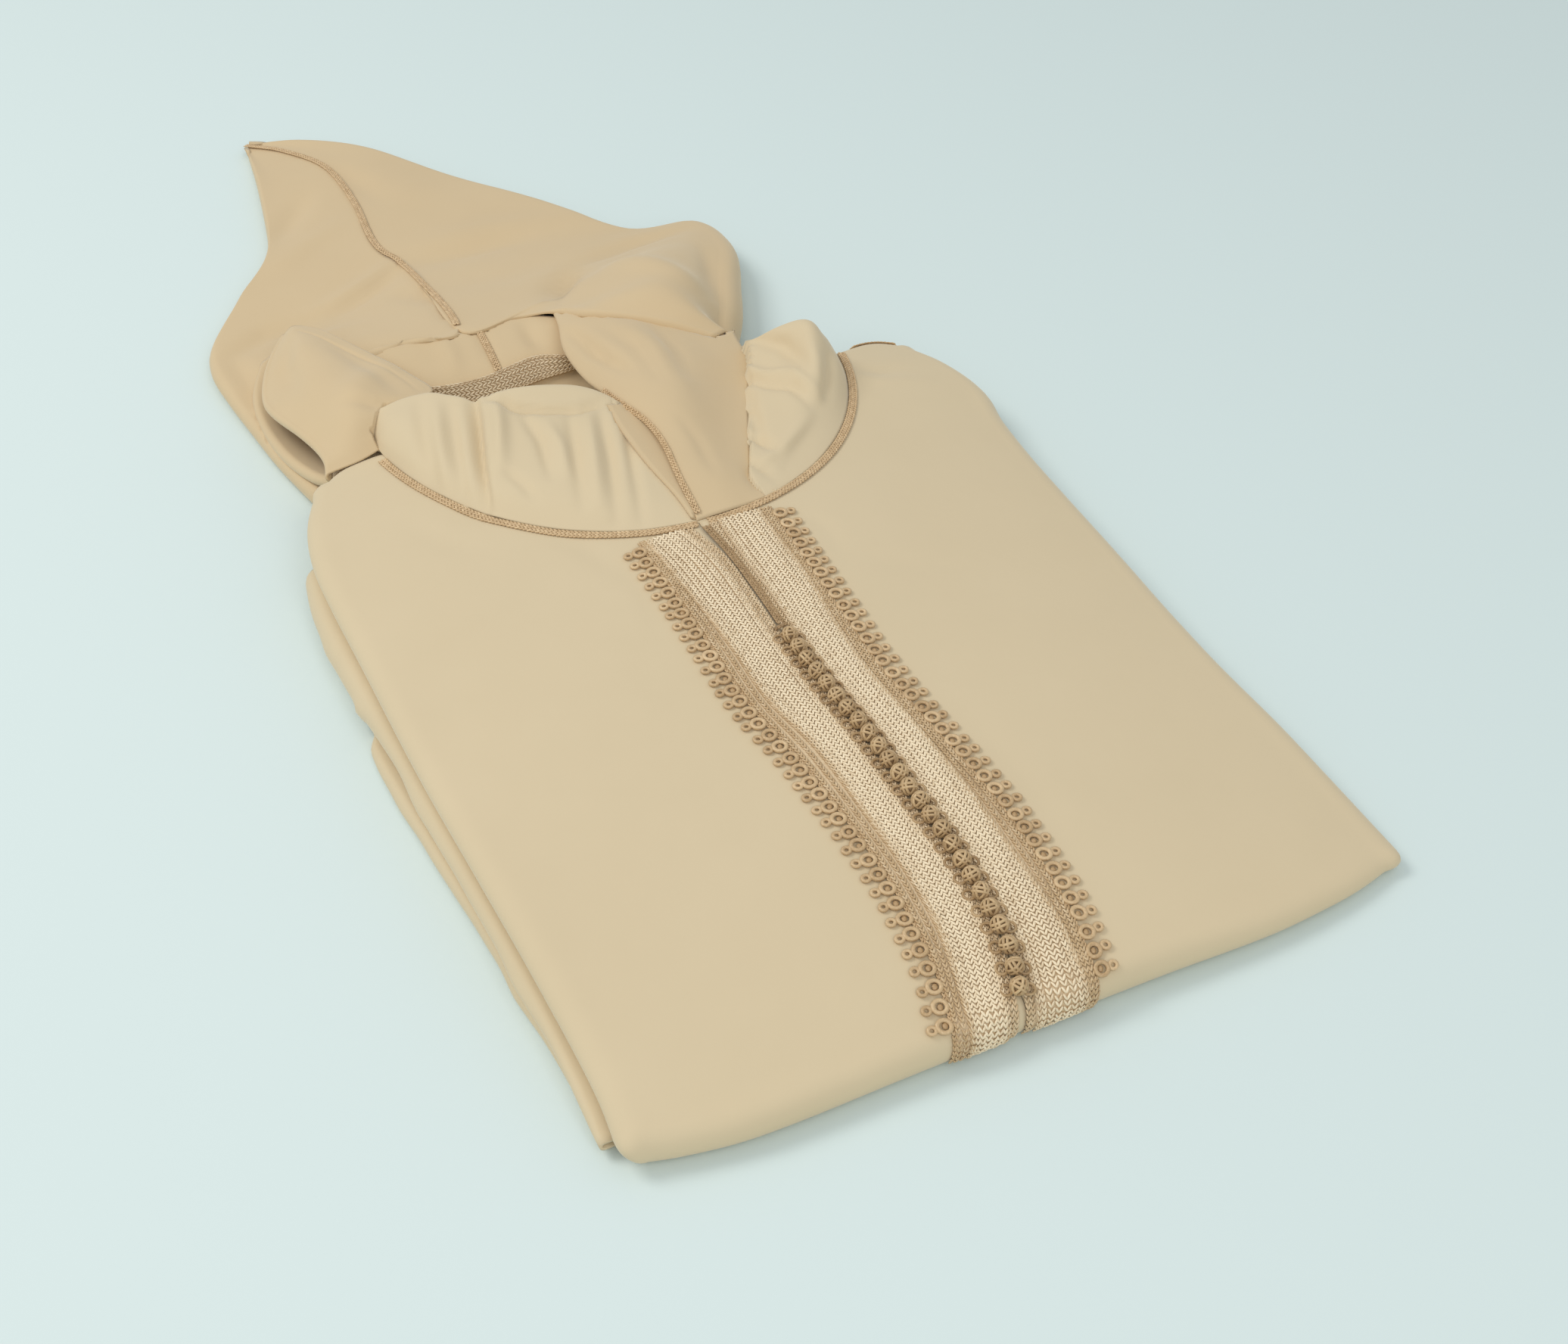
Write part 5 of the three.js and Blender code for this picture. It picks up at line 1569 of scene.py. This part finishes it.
@dataclass
class SeamBraids:
    """The narrow plaited cords that cover the seams, in millimetres."""

    packet: Packet
    finishes: Finishes
    pitch: float = 2.3
    neck_width: float = 4.6
    neck_shift: float = 2.2
    tone: float = Tone.GOLD.value + 0.12
    mouth_column: int = 20
    braid_column: int = 30
    # share of the way down the face braid, width of the column, shade
    face_chains: tuple[Triple, ...] = (
        (0.06, 2.0, 0.8), (0.28, 3.2, 1.0), (0.54, 3.4, 1.0), (0.78, 3.0, 1.0), (0.96, 1.8, 0.8),
    )

    def plait(self, name: str, path: Path, width: float, seed: int, rise: float = 0.9) -> bpy.types.Object:
        """A cord of two chain rows side by side."""
        work = ThreadWork(name, self.finishes.edging, Slot.TRIM, seed)
        for side in (-1, 1):
            work.chain(path, side * width / 4, width / 2, self.pitch, width * 0.3, rise, self.tone)
        return work.finish()

    def neck(self, name: str, start: float, end: float, seed: int) -> bpy.types.Object:
        """The cord of the neck seam over a stretch of its half ellipse, in degrees."""
        p = self.packet
        wide, deep = p.neck_half_width + self.neck_shift, p.neck_depth + self.neck_shift
        stations = []
        for k in range(61):
            angle = math.radians(start + (end - start) * k / 60)
            stations.append(p.on_front(p.neck_x + wide * math.cos(angle), p.neck_y + deep * math.sin(angle)))
        return self.plait(name, Path.through(stations), self.neck_width, seed)

    def along_grid(
        self, name: str, grid: Grid, column: int, span: tuple[int, int], width: float, seed: int,
        rise: float = 0.9,
    ) -> bpy.types.Object:
        """A cord that follows one column of a grid.

        Args:
            name: Name of the cord.
            grid: Rows of points.
            column: The column that it follows.
            span: First row, and the row after the last.
            width: Width of the cord.
            seed: Seed of its unevenness.
            rise: Height of the threads' middle over the surface.

        Returns:
            The finished cord.
        """
        ups = []
        for k in range(*span):
            a, b = grid[max(0, k - 1)][column], grid[min(len(grid) - 1, k + 1)][column]
            c, d = grid[k][max(0, column - 1)], grid[k][min(len(grid[k]) - 1, column + 1)]
            up = (b - a).cross(d - c).normalized()
            ups.append(up if up.z > 0 else -up)
        points = [row[column].copy() for row in grid[slice(*span)]]
        return self.plait(name, Path(points, ups), width, seed, rise)

    def settled(self, grid: Grid, column: int, rows: int, under: Sequence[ClothSheet]) -> Grid:
        """Rows of three points along a column, lifted on to the highest sheet at each place."""
        trees = [sheet.tree() for sheet in under]
        result = []
        for row in grid[:rows]:
            line = []
            for shift in (-2.0, 0.0, 2.0):
                p = row[column] + Vector((shift, 0, 0))
                starts = [Vector((p.x + dx, p.y, ABOVE)) for dx in (-1, 0, 1)]
                hits = [tree.ray_cast(start, DOWN)[0] for tree in trees for start in starts]
                found = [hit.z for hit in hits if hit is not None]
                line.append(Vector((p.x, p.y, max([row[column].z] + found))))
            top = max(q.z for q in line)
            result.append([Vector((q.x, q.y, top)) for q in line])
        return result

    def face(self, grid: Grid) -> bpy.types.Object:
        """The wider plaited band that hangs from the edge of the hood's mouth."""
        work = ThreadWork("face_braid", self.finishes.trim, Slot.TRIM, 45)
        out = Vector((-0.25, -1.0, 0.35)).normalized() * 1.4
        rows = []
        for row in grid:
            top, low = row[self.mouth_column], row[self.braid_column]
            rows.append([top.lerp(low, k / 8) + out for k in range(9)])
        work.strip(rows, 0.8, Tone.TAN.value + 0.3)
        facing = Vector((-0.2, -0.9, 0.4)).normalized()
        for share, width, tone in self.face_chains:
            points = [row[0].lerp(row[-1], share) for row in rows]
            work.chain(Path(points, [facing] * len(points)), 0.0, width, 2.7, 1.15, 0.9, tone)
        return work.finish()

    def shoulder(self, name: str, start: float, end: float, turn: float, seed: int) -> bpy.types.Object:
        """A cord over the shoulder edge, between two shares of the packet's width."""
        rows = []
        for k in range(11):
            u = start + (end - start) * k / 10
            rows.append([self.packet.skin(u, 1, 0, turn + b) for b in (-0.06, 0.0, 0.06)])
        return self.along_grid(name, rows, 1, (0, 11), 4.2, seed)

    def build(self, sheets: dict[str, ClothSheet]) -> None:
        """Builds every seam cord on the finished sheets."""
        self.neck("neck_cord_left", 190.5, 267.2, 41)
        self.neck("neck_cord_right", 269.6, 349.0, 42)
        left, right, brim = (sheets[f"hood_{name}"] for name in ("back_left", "back_right", "brim"))
        crown = self.settled(left.grid, 6, 64, (left, right))
        self.along_grid("crown_braid_back", crown, 1, (0, 64), 4.2, 43, 1.0)
        columns = [list(column) for column in zip(*brim.grid)]
        self.along_grid("crown_braid_front", columns, 40, (0, 21), 4.0, 44, 1.2)
        self.face(brim.grid)
        self.along_grid("throat_cord_right", sheets["throat_right"].grid, 10, (45, 90), 3.4, 46, 1.0)
        self.shoulder("shoulder_braid_left", 0.1, 0.02, 0.5, 47)
        self.shoulder("shoulder_braid_right", 0.92, 1.0, 0.35, 48)
        LOG.info("seam braids: neck, crown, face, throat and shoulders")


# ------------------------------------------------------------------ studio
@dataclass(frozen=True)
class SoftLamp:
    """A square soft light that faces the garment."""

    name: str
    place: Triple
    size: float
    power: float
    colour: Triple
    target: Triple = (0, 0.15, 0)

    def build(self) -> None:
        """Hangs the lamp."""
        data = bpy.data.lights.new(self.name, "AREA")
        data.shape, data.size, data.energy, data.color = "SQUARE", self.size, self.power, self.colour
        obj = bpy.data.objects.new(self.name, data)
        obj.location = self.place
        obj.rotation_euler = (Vector(self.target) - Vector(self.place)).to_track_quat("-Z", "Y").to_euler()
        bpy.context.scene.collection.objects.link(obj)


@dataclass
class Studio:
    """Pale floor, soft light and the camera."""

    floor_colour: Triple = (0.685, 0.775, 0.755)
    sky_colour: Triple = (0.90, 0.96, 1.0)
    sky_strength: float = 0.58
    lamps: tuple[SoftLamp, ...] = (
        SoftLamp("soft_left", (-1.35, 0.95, 2.05), 1.1, 25.0, (1.0, 0.985, 0.955)),
        SoftLamp("soft_front", (-0.4, -2.0, 2.0), 2.0, 25.0, (1.0, 0.99, 0.97)),
    )
    camera_place: Triple = (-0.371, -0.782, 0.800)
    yaw: float = 24.5
    pitch: float = 41.5
    lens: float = 53.0

    def floor(self) -> None:
        """A wide pale floor."""
        bm = bmesh.new()
        bmesh.ops.create_grid(bm, x_segments=2, y_segments=2, size=6.0)
        mesh = bpy.data.meshes.new("floor")
        bm.to_mesh(mesh)
        bm.free()
        made, shader = surface("floor", 0.9, 0.1)
        shader.inputs["Base Color"].default_value = (*self.floor_colour, 1.0)
        put("floor", mesh, made)

    def camera(self) -> None:
        """The camera, turned by its yaw and pitched down."""
        scene = bpy.context.scene
        data = bpy.data.cameras.new("camera")
        data.sensor_width, data.lens = 36.0, self.lens
        data.clip_start, data.clip_end = 0.01, 50.0
        obj = bpy.data.objects.new("camera", data)
        obj.location = self.camera_place
        yaw, pitch = math.radians(self.yaw), math.radians(self.pitch)
        ahead = Vector((math.sin(yaw) * math.cos(pitch), math.cos(yaw) * math.cos(pitch), -math.sin(pitch)))
        obj.rotation_mode = "QUATERNION"
        obj.rotation_quaternion = ahead.to_track_quat("-Z", "Y")
        scene.collection.objects.link(obj)
        scene.camera = obj

    def build(self) -> None:
        """Places the floor, the lights, the world and the camera."""
        self.floor()
        for lamp in self.lamps:
            lamp.build()
        world = bpy.data.worlds.new("studio")
        world.use_nodes = True
        sky = world.node_tree.nodes["Background"]
        sky.inputs["Color"].default_value = (*self.sky_colour, 1.0)
        sky.inputs["Strength"].default_value = self.sky_strength
        bpy.context.scene.world = world
        self.camera()
        bpy.context.scene.view_settings.view_transform = "Standard"
        LOG.info("studio: floor, %d lamps and the camera", len(self.lamps))


def main() -> None:
    """Builds the garment's sub-assemblies in order, then the studio."""
    logging.basicConfig(level=logging.INFO, format="%(name)s: %(message)s")
    finishes = Finishes()
    packet = Packet()
    sheets = Hood(packet, finishes).build() + Body(packet, finishes).build()
    for sheet in sheets:
        sheet.shape()
    for rank, sheet in enumerate(sheets):
        sheet.tuck_under(sheets[:rank])
        sheet.build()
    Placket(packet, finishes).build()
    SeamBraids(packet, finishes).build({sheet.name: sheet for sheet in sheets})
    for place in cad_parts["folded_layers"].material_slots:
        place.material = finishes.crepe
    Studio().build()


if __name__ == "__main__":
    main()
